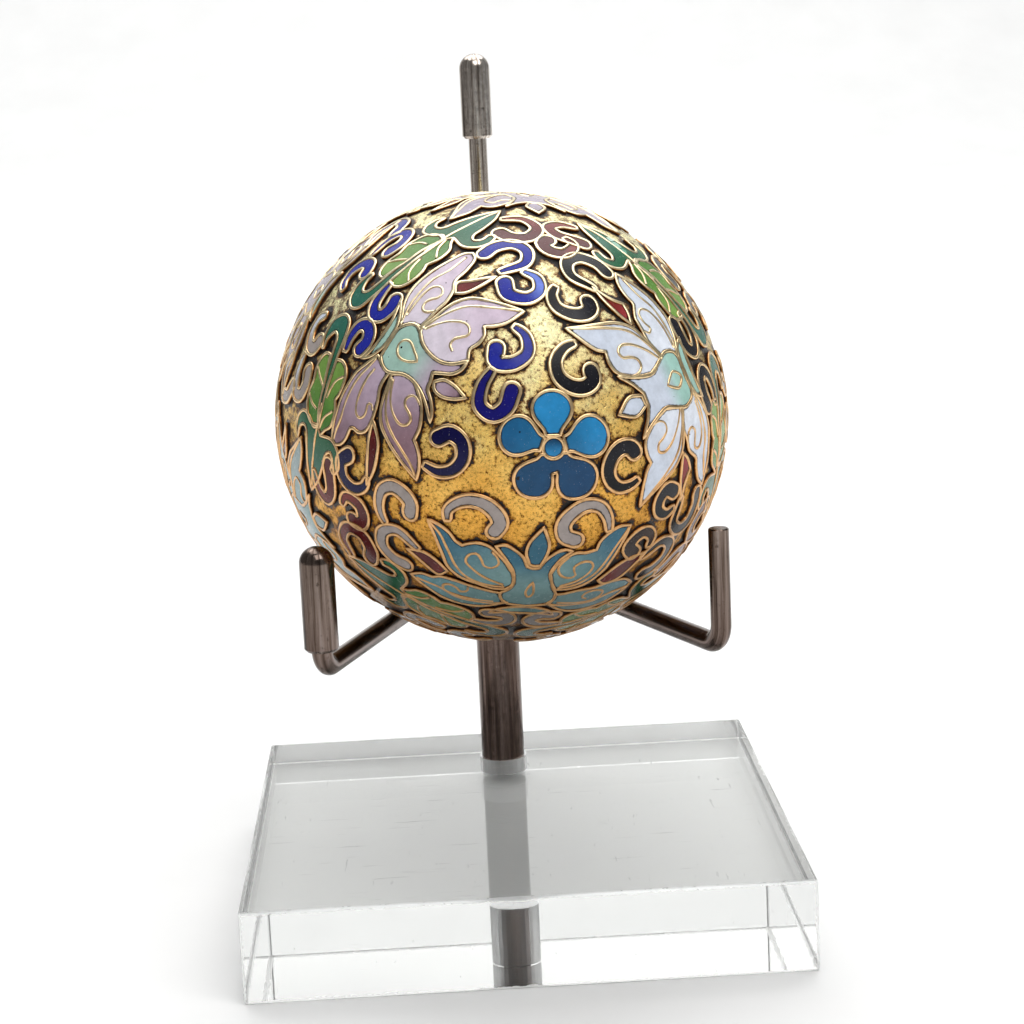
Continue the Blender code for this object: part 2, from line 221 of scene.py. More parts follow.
forward = Vector((math.sin(CAMERA_YAW) * math.cos(CAMERA_PITCH),
                  math.cos(CAMERA_YAW) * math.cos(CAMERA_PITCH), math.sin(CAMERA_PITCH)))
level = Vector((math.cos(CAMERA_YAW), -math.sin(CAMERA_YAW), 0.0))
upright = level.cross(forward)
right = level * math.cos(CAMERA_ROLL) - upright * math.sin(CAMERA_ROLL)
over = level * math.sin(CAMERA_ROLL) + upright * math.cos(CAMERA_ROLL)
eye = bpy.data.cameras.new("Camera")
eye.lens = LENS
eye.sensor_width = SENSOR
eye.clip_start = 0.01
camera = bpy.data.objects.new("Camera", eye)
camera.matrix_world = (Matrix.Translation(CAMERA_PLACE)
                       @ Matrix((right, over, -forward)).transposed().to_4x4())
bpy.context.scene.collection.objects.link(camera)
bpy.context.scene.camera = camera
print("camera", [round(c / MM, 1) for c in CAMERA_PLACE])


# %% [markdown]
# ## Floor and light
#
# A plain white sweep of paper and soft light. A wide panel over the egg and the floor behind it makes
# the background white and lights the gilding from above; the gilding's pale top is also painted into its
# colour. The surroundings in front stay dark, which keeps the enamel's colours deep and is what a metal
# wire shows as dark streaks. The plain "Standard" view keeps colours as they are lit, without the filmic
# roll-off that would pale them.

# %% Floor
FLOOR_SIZE, FLOOR_DEEP, FLOOR_BEND, FLOOR_TOP = 4.0, 1.2, 0.6, 2.0
FLOOR_BEND_STEPS = 17
FLOOR_GAP = 0.05 * MM
bpy.context.scene.view_settings.view_transform = "Standard"


def floor_finish():
    """Matt white paper: nearly white, with the faintest mottling."""
    made, tree, shader, where = blank_material("Matt white paper")
    tone = ramp(tree, noise(tree, where, 40.0), (0.3, "#F4F4F3"), (0.7, "#F8F8F7"))
    set_inputs(tree, shader, {"Base Color": tone, "Roughness": 0.9, "Specular IOR Level": 0.1})
    return made


def make_floor():
    """A profile carried sideways: level, a hair under the block, then a quarter circle up to a wall."""
    turn = np.linspace(0.0, math.pi / 2, FLOOR_BEND_STEPS)
    wall = FLOOR_DEEP + FLOOR_BEND
    along = np.concatenate([[-FLOOR_SIZE / 2], FLOOR_DEEP + FLOOR_BEND * np.sin(turn), [wall]])
    rise = np.concatenate([[0.0], FLOOR_BEND - FLOOR_BEND * np.cos(turn), [FLOOR_TOP]])
    side = np.array([-FLOOR_SIZE / 2, FLOOR_SIZE / 2])
    points = np.stack([np.repeat(side, len(along)), np.tile(along, 2), np.tile(rise, 2) - FLOOR_GAP],
                      axis=1)
    faces = grid_faces(2, len(along))[:, OTHER_WAY]
    surface("Floor", points, faces, floor_finish())
    print("floor:", len(faces), "strips,", FLOOR_SIZE, "m wide")


make_floor()

# %% Lights
EGG_MIDDLE = Vector((-0.6, -11.837, 72.621)) * MM
WORLD_STRENGTH = 0.22


def panel(name, place, size, power, target=EGG_MIDDLE / MM):
    """A square soft light at a place in mm, facing a target in mm."""
    lamp = bpy.data.lights.new(name, "AREA")
    lamp.shape = "RECTANGLE"
    lamp.size, lamp.size_y = size[0] * MM, size[1] * MM
    lamp.energy = power
    holder = bpy.data.objects.new(name, lamp)
    aim = Vector(target) - Vector(place)
    turn = aim.to_track_quat("-Z", "Y").to_matrix().to_4x4()
    holder.matrix_world = Matrix.Translation(Vector(place) * MM) @ turn
    bpy.context.scene.collection.objects.link(holder)
    print(f"{name}: {power} W from {place} mm")


panel("Top panel", (0, 200, 1300), (1300, 1000), 9.0)
panel("Front panel", (330, -560, 880), (900, 600), 5.5)
panel("Background panel", (0, 1000, 1300), (2000, 1200), 15.0, (0, 1000, 0))

world = bpy.data.worlds.new("Studio")
world.use_nodes = True
world.node_tree.nodes["Background"].inputs["Color"].default_value = linear("#F2F4F6")
world.node_tree.nodes["Background"].inputs["Strength"].default_value = WORLD_STRENGTH
bpy.context.scene.world = world


# %% [markdown]
# ## The egg's own shape
#
# Every point of the egg is a unit vector pushed out to it: across it is round, and it widens a
# little towards the blunt end, which faces the viewer. The pattern is drawn flat, in millimetres,
# and laid on the egg like a small sheet wrapped on a ball, so a motif keeps its proportions.

# %% Egg shape and wrapping
EGG_RADIUS = 30.2 * MM
EGG_HALF_LENGTH = 38.1 * MM
EGG_TAPER = 0.08
EGG_TURN = math.radians(8.6)
EGG_TILT = math.radians(2.0)
RELIEF = 0.42 * MM
SMALL_ANGLE = 0.001
TINY = 1e-9

egg_out = np.array([math.sin(EGG_TURN) * math.cos(EGG_TILT),
                    -math.cos(EGG_TURN) * math.cos(EGG_TILT), math.sin(EGG_TILT)])
egg_side = np.cross((0.0, 0.0, 1.0), egg_out)
egg_side /= np.linalg.norm(egg_side)
egg_frame = np.stack([egg_side, np.cross(egg_out, egg_side), egg_out])


def directions(polar, azimuth):
    """Unit vectors at an angle from the blunt end's axis and an azimuth about it."""
    return np.stack([np.sin(polar) * np.cos(azimuth), np.sin(polar) * np.sin(azimuth),
                     np.cos(polar) * np.ones_like(azimuth)], axis=-1)


def egg_points(unit):
    """Unit vectors pushed out to the egg: the radius across grows with the taper along."""
    across = EGG_RADIUS * (1.0 + EGG_TAPER * unit[..., 2:])
    return np.concatenate([unit[..., :2] * across, unit[..., 2:] * EGG_HALF_LENGTH], axis=-1)


def egg_normals(points):
    """Outward unit normals: the slope of (across / radius)^2 + (along / half length)^2."""
    along = points[..., 2:] / EGG_HALF_LENGTH
    radius = EGG_RADIUS * (1.0 + EGG_TAPER * along)
    reach = (points[..., :2] ** 2).sum(axis=-1, keepdims=True)
    slope = np.concatenate([points[..., :2] / radius ** 2,
                            along / EGG_HALF_LENGTH
                            - reach * EGG_RADIUS * EGG_TAPER / EGG_HALF_LENGTH / radius ** 3], axis=-1)
    return slope / np.linalg.norm(slope, axis=-1, keepdims=True)


def on_egg(points, height=0.0):
    """Points in the egg's own axes raised along its normals and set where the egg rests."""
    raised = points + egg_normals(points) * np.asarray(height)[..., None]
    return raised @ egg_frame + np.array(EGG_MIDDLE)


def spot_frame(polar, azimuth):
    """A place on the egg and two tangents, round it and away from the blunt end, angles in degrees."""
    polar, azimuth = math.radians(polar) + SMALL_ANGLE, math.radians(azimuth)
    steps = np.array([[0, 0], [1, 0], [-1, 0], [0, 1], [0, -1]]) * SMALL_ANGLE / 2
    spots = egg_points(directions(polar + steps[:, 0], azimuth + steps[:, 1]))
    away = spots[1] - spots[2]
    ring = spots[3] - spots[4]
    return spots[0], -ring / np.linalg.norm(ring), away / np.linalg.norm(away)


def wrap(drawing, spot):
    """Flat mm round a spot laid on a ball that touches the egg there, then pushed out to the egg."""
    place, ring, away = spot
    across, along = np.asarray(drawing, dtype=float).T * MM
    reach = np.maximum(np.hypot(across, along), TINY)
    angle = reach / EGG_RADIUS
    inward = np.cross(away, ring)
    inward = inward if inward @ place < 0 else -inward
    flat = np.sin(angle) / reach * EGG_RADIUS
    ball = (place + (across * flat)[:, None] * ring + (along * flat)[:, None] * away
            + ((1.0 - np.cos(angle)) * EGG_RADIUS)[:, None] * inward)
    along = ball[:, 2:] / EGG_HALF_LENGTH
    unit = np.concatenate([ball[:, :2] / (EGG_RADIUS * (1.0 + EGG_TAPER * along)), along], axis=1)
    return egg_points(unit / np.linalg.norm(unit, axis=1, keepdims=True))


# %% [markdown]
# ## Drawing with wire
#
# A maker bends flat wire round small pliers, so a motif is a few smooth runs that meet in sharp
# tips. Each run here is a handful of points in millimetres with a smooth curve through them, and an
# outline is a list of runs, each starting where the last one ended.

# %% Smooth runs and outlines
STEP = 0.38
FINE_STEPS = 24
STRAIGHT_STEPS = 60


def distances(points):
    """How far along a path each of its points lies."""
    return np.concatenate([[0.0], np.cumsum(np.linalg.norm(np.diff(points, axis=0), axis=1))])


def smooth(points):
    """A curve through points: cubics with root-of-chord knots, sampled every STEP mm along it."""
    points = np.asarray(points, dtype=float)
    if len(points) == 2:
        fine = np.linspace(points[0], points[1], STRAIGHT_STEPS)
    else:
        chords = np.linalg.norm(np.diff(points, axis=0), axis=1)
        knots = np.concatenate([[0.0], np.cumsum(chords ** 0.5)])
        slope = np.gradient(points, knots, axis=0)
        at = np.linspace(0.0, knots[-1], FINE_STEPS * len(points))
        low = np.clip(np.searchsorted(knots, at, side="right") - 1, 0, len(points) - 2)
        span = (knots[low + 1] - knots[low])[:, None]
        t = (at - knots[low])[:, None] / span
        fine = ((2 * t ** 3 - 3 * t ** 2 + 1) * points[low]
                + (t ** 3 - 2 * t ** 2 + t) * span * slope[low]
                + (3 * t ** 2 - 2 * t ** 3) * points[low + 1]
                + (t ** 3 - t ** 2) * span * slope[low + 1])
    far = distances(fine)
    even = np.linspace(0.0, far[-1], max(2, int(round(far[-1] / STEP)) + 1))
    return np.stack([np.interp(even, far, fine[:, 0]), np.interp(even, far, fine[:, 1])], axis=1)


def outline(runs):
    """A closed outline of smooth runs: each starts where the last one ended, back to the first point."""
    start = runs[0][0]
    pieces, last = [], None
    for run in runs:
        run = run if last is None else [last] + run
        last = run[-1]
        pieces.append(smooth(run)[:-1])
    if last != start:
        pieces.append(smooth([last, start])[:-1])
    return np.concatenate(pieces)


print("a wire's points are", STEP, "mm apart")


# %% [markdown]
# ## The lotus
#
# One lotus is a vase-shaped body with a drop-shaped eye and a crescent over it, a bud below, and
# two pairs of pointed petals with a vein and a curl each. Between the pairs sits a red spike. Every
# wire was bent by hand, so the three lotuses round the flower are drawn one by one, each side for
# itself, and the small ones round the belt share one plain drawing.

# %% The plain lotus
BODY = [[(0.0, 2.2), (2.3, 2.4)],
        [(3.2, 1.9), (3.75, 0.3), (3.1, -1.7), (2.35, -3.6), (3.0, -6.2), (4.3, -8.7)],
        [(2.4, -7.2), (0.8, -6.3)],
        [(-0.8, -6.3)],
        [(-2.4, -7.2), (-4.3, -8.7)],
        [(-3.0, -6.2), (-2.35, -3.6), (-3.1, -1.7), (-3.75, 0.3), (-3.2, 1.9), (-2.3, 2.4)]]
CRESCENT = [[(-4.1, 4.8), (-3.4, 3.4), (-2.1, 2.75), (0.0, 2.5), (2.1, 2.75), (3.4, 3.4), (4.1, 4.8)],
            [(2.2, 4.3), (0.0, 4.1), (-2.2, 4.3), (-4.1, 4.8)]]
EYE = [[(0.0, -1.9), (0.65, -1.0), (1.1, 0.1), (0.0, 1.3), (-1.1, 0.1), (-0.65, -1.0), (0.0, -1.9)]]
BUD = [[(0.7, -6.7), (1.3, -8.6), (0.0, -11.0)], [(-1.3, -8.6), (-0.7, -6.7)]]
LOWER_PETAL = [[(3.5, -0.6), (6.0, -1.6), (8.5, -2.4), (10.2, -4.4), (11.3, -7.0), (12.5, -9.7)],
               [(9.9, -9.3), (8.8, -8.5), (7.7, -7.3)],
               [(6.5, -8.2), (4.6, -7.8), (3.2, -6.6), (2.6, -5.0), (2.35, -3.6)],
               [(3.0, -1.9), (3.5, -0.6)]]
UPPER_PETAL = [[(2.3, 2.4), (4.6, 3.9), (7.0, 4.7), (10.0, 4.4), (12.8, 3.5), (15.5, 2.2)],
               [(14.0, 0.8), (12.4, 0.4), (11.0, 0.5), (10.2, -0.2), (9.3, -1.0), (7.8, -1.2), (6.2, -1.5)],
               [(4.8, -1.1), (3.5, -0.6)],
               [(3.75, 0.3), (3.2, 1.9), (2.3, 2.4)]]
SPIKE = [[(9.2, -1.0), (10.5, 0.0), (12.0, -1.4), (14.3, -3.3)], [(11.8, -2.8), (10.0, -2.0), (9.2, -1.0)]]
LONG_VEIN = [(3.3, -0.8), (6.0, -1.9), (8.5, -3.5), (10.5, -6.5), (12.3, -9.4)]
TOP_VEIN = [(2.3, 2.4), (5.0, 3.2), (9.0, 3.3), (11.5, 2.5), (14.4, 2.4)]
LOW_CURL = [(3.3, -1.1), (4.8, -2.2), (6.0, -3.5), (6.7, -5.0), (6.5, -5.9), (5.7, -6.4), (5.0, -5.9),
            (4.3, -5.3), (3.4, -5.3), (2.9, -6.1)]
TOP_CURL = [(3.5, 2.5), (7.0, 2.7), (8.4, 2.3), (8.9, 1.4), (8.4, 0.5), (7.5, 0.5), (6.8, 1.2), (6.0, 1.5),
            (5.2, 1.1), (5.2, 0.3), (6.0, -0.7)]
PLAIN_SIDE = {"lower": LOWER_PETAL, "upper": UPPER_PETAL, "spike": SPIKE,
              "veins": [LONG_VEIN, TOP_VEIN, LOW_CURL, TOP_CURL]}
PLAIN = {"body": BODY, "crescent": CRESCENT, "bud": BUD, "eye": EYE, "right": PLAIN_SIDE, "left": PLAIN_SIDE}
print("plain body:", len(outline(BODY)), "points")

# %% The lilac lotus, upper left of the flower
LILAC_BODY = [
    [(0.0, 2.3), (1.6, 2.2)],
    [(2.5, 1.6), (3.05, 0.8), (3.05, 0.0), (2.6, -0.9), (1.8, -1.9), (1.3, -3.0), (1.0, -4.3), (1.0, -5.6),
     (1.4, -6.8), (2.1, -7.7), (3.0, -8.5)],
    [(1.6, -8.5), (0.5, -7.8), (-0.1, -6.7), (-0.7, -5.6)],
    [(-1.6, -6.0), (-2.6, -6.2), (-3.6, -7.3), (-4.7, -8.2), (-6.0, -8.7)],
    [(-5.2, -7.9), (-4.2, -6.8), (-3.4, -5.6), (-2.9, -4.3), (-2.75, -3.2), (-2.9, -2.0), (-3.4, -0.9),
     (-3.65, 0.1), (-3.3, 1.3), (-2.5, 2.2)]]
LILAC_CRESCENT = [[(-4.1, 4.9), (-3.2, 3.6), (-2.2, 3.0), (-1.0, 2.6), (0.3, 2.5), (1.8, 2.75), (3.0, 3.4),
                   (4.0, 4.2), (4.9, 5.1)],
                  [(3.4, 4.4), (1.8, 3.9), (-1.1, 3.9), (-2.9, 4.2), (-4.1, 4.9)]]
LILAC_BUD = [[(-1.5, -6.4), (-0.6, -7.4), (-0.5, -9.0), (-0.8, -10.2), (-1.0, -11.0)],
             [(-2.0, -9.7), (-2.5, -8.3), (-2.3, -7.0), (-1.5, -6.4)]]
LILAC_EYE = [[(-0.6, -2.9), (-0.2, -2.6), (0.35, -1.7), (0.85, -0.9), (1.0, -0.2), (0.7, 0.45), (0.0, 0.75),
              (-0.7, 0.5), (-1.25, -0.1), (-1.4, -0.9), (-1.1, -2.1), (-0.6, -2.9)]]
LILAC_RIGHT = {
    "lower": [[(3.2, -0.6), (4.8, -1.1), (6.5, -1.4), (8.3, -2.0), (9.8, -3.1), (10.8, -5.0), (11.6, -7.0),
               (12.5, -9.7)],
              [(10.0, -9.2), (8.6, -8.3), (7.7, -7.3)],
              [(6.8, -8.1), (5.6, -8.2), (4.3, -7.8), (3.0, -8.5)],
              [(2.1, -7.7), (1.4, -6.8), (1.0, -5.6), (1.0, -4.3), (1.3, -3.0), (1.8, -1.9), (2.6, -0.9),
               (3.2, -0.6)]],
    "upper": [[(1.9, 2.2), (3.3, 3.2), (4.8, 4.2), (7.0, 4.8), (10.0, 4.5), (12.8, 3.8), (14.6, 3.2),
               (15.4, 2.3)],
              [(14.8, 1.2), (13.4, 0.7), (12.2, 0.5), (11.0, 0.5), (10.2, 0.2), (9.5, -0.4), (8.6, -0.75),
               (7.5, -0.9), (6.1, -0.7), (4.8, -0.65), (3.2, -0.4)],
              [(3.05, 0.8), (2.5, 1.6), (1.9, 2.2)]],
    "spike": SPIKE, "veins": [LONG_VEIN, TOP_VEIN, LOW_CURL, TOP_CURL]}
LILAC_LEFT = {
    "lower": [[(3.6, -0.7), (4.8, -1.0), (6.5, -1.3), (8.3, -1.8), (9.8, -2.8), (11.0, -4.5), (12.0, -6.5),
               (12.8, -8.5), (13.4, -10.2)],
              [(11.8, -9.9), (10.3, -9.2), (9.4, -8.4), (9.0, -7.8)],
              [(7.5, -7.8), (6.0, -7.3), (4.7, -6.5), (3.8, -5.5), (2.9, -4.3)],
              [(2.75, -3.2), (2.9, -2.0), (3.6, -0.7)]],
    "upper": [[(2.6, 2.6), (4.2, 3.6), (6.0, 4.6), (8.5, 5.1), (11.0, 5.2), (13.5, 5.0), (15.2, 4.5),
               (15.7, 3.7)],
              [(15.2, 2.7), (14.3, 2.1), (13.2, 1.9), (12.5, 1.8)],
              [(12.2, 1.2), (12.3, 0.3), (11.7, -0.7), (10.4, -1.1), (8.8, -1.0), (7.2, -0.7), (5.9, -0.2),
               (4.6, -0.1), (3.6, -0.3)],
              [(3.65, 0.3), (3.3, 1.3), (2.6, 2.6)]],
    "spike": [[(9.8, -1.3), (12.0, -1.6), (14.5, -2.4), (18.0, -3.4)],
              [(16.0, -3.9), (14.0, -3.8), (12.0, -3.3), (10.6, -2.2), (9.8, -1.3)]],
    "veins": [[(3.9, -1.0), (6.5, -1.8), (8.6, -3.0), (10.0, -4.8), (11.0, -6.8), (12.2, -8.9),
               (13.2, -10.0)],
              [(4.0, -1.3), (5.5, -1.9), (7.0, -2.9), (8.0, -4.2), (8.3, -5.3), (7.8, -6.1), (7.0, -6.2),
               (6.4, -5.5), (6.0, -4.7), (5.3, -4.3), (4.6, -4.6), (4.3, -5.3), (4.9, -6.4)],
              [(3.0, 2.6), (4.5, 3.1), (6.0, 3.7), (8.0, 4.1), (10.5, 4.1), (12.5, 4.0), (14.0, 4.2),
               (15.4, 4.2)],
              [(4.2, 2.0), (5.5, 2.4), (7.5, 2.45), (9.3, 2.2), (10.4, 1.6), (10.6, 0.9), (10.0, 0.3),
               (9.2, 0.3), (8.5, 0.5), (8.2, 0.0), (8.8, -0.6)]]}
LILAC_LOTUS = {"body": LILAC_BODY, "crescent": LILAC_CRESCENT, "bud": LILAC_BUD, "eye": LILAC_EYE,
               "right": LILAC_RIGHT, "left": LILAC_LEFT}
print("lilac body:", len(outline(LILAC_BODY)), "points")

# %% The white lotus, right of the flower
WHITE_LOWER = [[(3.5, -0.6), (6.0, -1.5), (8.5, -2.5), (10.2, -4.4), (11.3, -7.2), (12.1, -9.2),
                (12.9, -11.0)],
               [(11.3, -10.5), (9.6, -9.9), (8.4, -9.2), (7.8, -8.4)],
               [(6.4, -8.8), (4.9, -8.6), (3.9, -7.6), (3.0, -6.0), (2.4, -3.8)],
               [(3.0, -1.9), (3.5, -0.6)]]
WHITE_SPIKE = [[(9.0, -2.3), (10.3, -1.5), (11.7, -1.1)], [(13.0, -2.3), (15.6, -3.2)],
               [(13.0, -3.4), (10.5, -2.9), (9.0, -2.3)]]
WHITE_LOW_CURL = [(3.3, -1.1), (5.3, -2.6), (6.9, -4.4), (7.4, -5.9), (6.9, -6.8), (6.0, -6.6), (5.6, -5.6),
                  (4.9, -4.7), (3.9, -4.7), (3.3, -5.6), (3.4, -7.0)]
WHITE_LONG_VEIN = [(3.3, -0.8), (6.0, -1.9), (8.5, -3.5), (10.3, -6.2), (11.6, -8.8), (12.8, -10.9)]
WHITE_LEFT = {"lower": WHITE_LOWER, "upper": UPPER_PETAL, "spike": WHITE_SPIKE,
              "veins": [WHITE_LONG_VEIN, TOP_VEIN, WHITE_LOW_CURL,
                        [(3.5, 2.5), (7.0, 2.7), (9.2, 2.0), (9.9, 0.9), (9.4, 0.0), (8.2, -0.1),
                         (7.2, 0.3), (6.8, -0.4), (7.4, -1.0)]]}
WHITE_RIGHT = {"lower": WHITE_LOWER, "upper": UPPER_PETAL, "spike": WHITE_SPIKE,
               "veins": [WHITE_LONG_VEIN, TOP_VEIN, WHITE_LOW_CURL,
                         [(3.7, 2.5), (6.5, 2.7), (8.8, 2.2), (9.8, 1.2), (9.3, 0.3), (8.2, 0.6),
                          (7.2, 0.9), (6.6, 0.3), (6.9, -0.6), (8.0, -1.1)]]}
WHITE_LOTUS = {"body": BODY, "crescent": CRESCENT, "bud": BUD, "eye": EYE, "right": WHITE_RIGHT,
               "left": WHITE_LEFT}
print("white lower petal:", len(outline(WHITE_LOWER)), "points")

# %% The teal lotus, under the flower
TEAL_BODY = [[(0.0, 3.0), (2.4, 2.7)],
             [(3.5, 1.6), (3.6, 0.5), (2.9, -0.2), (2.4, -1.3), (2.5, -2.7), (2.9, -4.0), (3.85, -5.4),
              (4.8, -6.5), (5.6, -7.4)],
             [(4.4, -7.8), (2.9, -7.1), (1.8, -6.1), (1.2, -4.8)],
             [(0.4, -4.5), (-0.4, -4.6)],
             [(-0.8, -5.6), (-1.4, -6.5), (-2.3, -7.3), (-3.4, -7.6), (-4.3, -7.3)],
             [(-2.9, -6.1), (-2.3, -4.9), (-2.0, -3.6), (-2.4, -2.2), (-2.8, -0.9), (-3.4, 0.2),
              (-3.4, 1.5), (-2.6, 2.6)]]
TEAL_CRESCENT = [[(-4.2, 5.6), (-3.4, 4.4), (-2.1, 3.6), (0.0, 3.3), (2.1, 3.6), (3.4, 4.4), (4.2, 5.6)],
                 [(2.2, 5.0), (0.0, 4.8), (-2.2, 5.0), (-4.2, 5.6)]]
TEAL_BUD = [[(1.0, -5.2), (1.65, -6.9), (1.5, -8.6), (0.8, -9.8), (0.0, -10.9)],
            [(-0.6, -9.7), (-1.1, -8.3), (-1.0, -6.8), (-0.5, -5.1)],
            [(0.2, -4.9), (1.0, -5.2)]]
TEAL_EYE = [[(0.0, -2.1), (0.4, -1.0), (0.55, 0.0), (0.1, 0.95), (-0.4, 0.4), (-0.35, -0.8), (0.0, -2.1)]]
TEAL_LEFT = {
    "lower": [[(3.2, -0.6), (5.2, -0.5), (7.6, -1.4), (9.4, -3.4), (10.7, -6.0), (12.2, -9.8)],
              [(10.4, -10.0), (8.8, -9.2), (7.9, -8.2), (7.6, -7.1)],
              [(6.2, -6.8), (4.8, -6.9), (3.5, -6.2), (2.6, -5.0), (2.0, -3.6)],
              [(2.5, -1.9), (3.2, -0.6)]],
    "upper": [[(2.9, 2.6), (5.0, 4.4), (7.5, 5.2), (10.5, 4.9), (13.2, 3.6), (14.6, 1.8)],
              [(13.4, 0.4), (11.8, -0.1), (10.2, -0.2), (8.4, 0.1), (6.2, 0.2), (4.4, 0.5), (3.4, 0.5)],
              [(3.45, 1.4), (2.9, 2.6)]],
    "spike": [[(8.9, -1.2), (9.8, -0.3), (11.6, -0.4), (13.6, -1.8), (15.8, -3.9)],
              [(12.8, -3.9), (10.6, -2.8), (8.9, -1.2)]],
    "veins": [[(3.4, -0.9), (5.5, -1.2), (7.6, -2.4), (9.0, -4.2), (10.2, -6.6), (12.0, -9.6)],
              [(3.6, -1.2), (6.1, -2.2), (7.3, -3.4), (7.6, -4.3), (7.0, -5.2), (5.9, -5.3), (5.0, -4.7),
               (5.1, -3.8), (5.4, -3.1), (4.8, -2.7), (3.6, -3.1), (2.9, -4.3), (3.2, -5.4), (4.1, -6.5)],
              TOP_VEIN,
              [(4.0, 2.4), (6.5, 2.9), (8.5, 3.1), (10.0, 2.5), (10.2, 1.5), (9.0, 0.8), (7.7, 1.0),
               (7.3, 1.8), (8.0, 2.4)]]}
TEAL_RIGHT = {
    "lower": [[(3.2, -0.4), (4.9, -0.1), (7.0, -0.5), (9.3, -1.0), (10.9, -2.1), (12.2, -4.3), (13.4, -6.3),
               (14.8, -8.4)],
              [(13.1, -8.2), (11.7, -7.6), (10.7, -6.7), (9.8, -6.3)],
              [(9.0, -6.9), (7.9, -7.3), (6.3, -7.1), (5.0, -6.1), (3.85, -4.9), (2.9, -3.6)],
              [(2.5, -2.4), (2.5, -1.2), (3.2, -0.4)]],
    "upper": [[(2.9, 2.6), (5.0, 4.0), (7.5, 4.7), (10.5, 4.5), (13.2, 3.4), (15.3, 2.3)],
              [(14.0, 1.2), (12.4, 0.9), (11.6, 0.3), (9.6, 0.1), (7.5, 0.3), (5.4, 0.5), (3.8, 0.6)],
              [(3.5, 1.4), (2.9, 2.6)]],
    "spike": [[(10.8, -1.2), (11.8, 0.0), (14.0, -1.0), (16.6, -2.2)], [(14.4, -2.9), (12.4, -2.4),
                                                                        (10.8, -1.2)]],
    "veins": [[(3.4, -0.8), (5.5, -0.6), (8.2, -1.2), (10.0, -2.7), (11.4, -4.9), (12.8, -6.9),
               (14.5, -8.2)],
              [(3.6, -1.1), (5.8, -1.8), (7.8, -2.9), (8.9, -4.0), (8.6, -5.2), (7.7, -5.6), (7.0, -4.8),
               (6.5, -3.9), (5.6, -3.8), (4.8, -4.6), (5.1, -5.6), (6.0, -6.5)],
              TOP_VEIN,
              [(4.2, 2.6), (7.0, 3.0), (9.2, 3.0), (10.6, 2.7), (10.9, 1.8), (10.2, 1.2), (9.3, 1.4),
               (8.6, 2.0), (7.8, 1.6), (7.8, 0.6)]]}
TEAL_LOTUS = {"body": TEAL_BODY, "crescent": TEAL_CRESCENT, "bud": TEAL_BUD, "eye": TEAL_EYE,
              "right": TEAL_RIGHT, "left": TEAL_LEFT}
print("teal body:", len(outline(TEAL_BODY)), "points")

# %% [markdown]
# ## Leaves, scrolls and the flower
#
# The leaf branches beside a crescent are dark green curls and hooks with two light green lobes
# between. Scrolls are bands that widen from a thin end to a round one: they are drawn as a middle
# line and get their two edges from it. The flower on the pole has three separate petals and two that
# grow out of one root.

# %% Leaf cells and wires
LEAF_CURL = [[(9.5, 9.6), (8.0, 10.1), (5.0, 10.8), (3.5, 11.5), (3.2, 12.5), (4.4, 13.3), (5.8, 13.2)],
             [(5.9, 13.7), (4.0, 14.5), (1.8, 14.2), (0.6, 12.6), (1.0, 10.9), (3.2, 9.8), (6.0, 9.2),
              (10.0, 8.6), (15.0, 8.1)],
             [(12.3, 9.1), (9.5, 9.6)]]
LEAF_UPPER = [[(6.0, 10.9), (6.1, 11.9), (6.9, 12.6), (8.5, 12.8), (10.0, 12.3), (12.0, 12.6), (14.3, 11.6),
               (15.3, 10.0), (15.0, 8.2)],
              [(12.3, 9.1), (9.5, 9.6), (8.0, 10.1), (6.0, 10.9)]]
LEAF_LOWER = [[(6.0, 9.1), (5.8, 7.8), (6.3, 6.7), (7.5, 5.9), (9.5, 5.8), (10.5, 6.2)],
              [(12.0, 5.4), (14.0, 5.5), (15.0, 6.5), (16.0, 7.2)],
              [(15.0, 8.1)],
              [(10.0, 8.6), (6.0, 9.1)]]
LEAF_END = [[(15.0, 8.1), (15.6, 9.2), (14.8, 10.5), (14.6, 12.8), (15.7, 14.0), (17.4, 14.1),
             (18.5, 13.1)],
            [(17.0, 13.0), (16.3, 12.0), (16.6, 10.9), (18.2, 10.3), (21.0, 9.6), (24.6, 8.2)],
            [(22.5, 6.5), (20.0, 5.6), (17.8, 5.2), (17.2, 4.3), (18.0, 3.6), (19.2, 3.7)],
            [(19.7, 2.9), (18.5, 2.1), (16.5, 2.8), (15.5, 4.5), (16.0, 7.2)],
            [(15.0, 8.1)]]
LEAF_VEINS = [
    [(8.3, 12.6), (9.2, 11.2), (10.0, 9.7)],
    [(12.0, 12.3), (12.9, 11.0), (13.2, 9.5)],
    [(7.3, 6.3), (8.5, 7.5), (11.0, 8.0)],
    [(12.0, 5.9), (13.4, 7.2), (15.3, 7.8)],
    [(12.0, 8.6), (16.0, 8.3), (20.0, 8.1), (24.0, 8.1)],
]
print(len(LEAF_VEINS), "veins in a leaf branch")

# %% Scroll middle lines and widths
SCROLL_THIN = 0.75
SCROLL_WIDE = 2.15
SCROLL_ROUND = 9

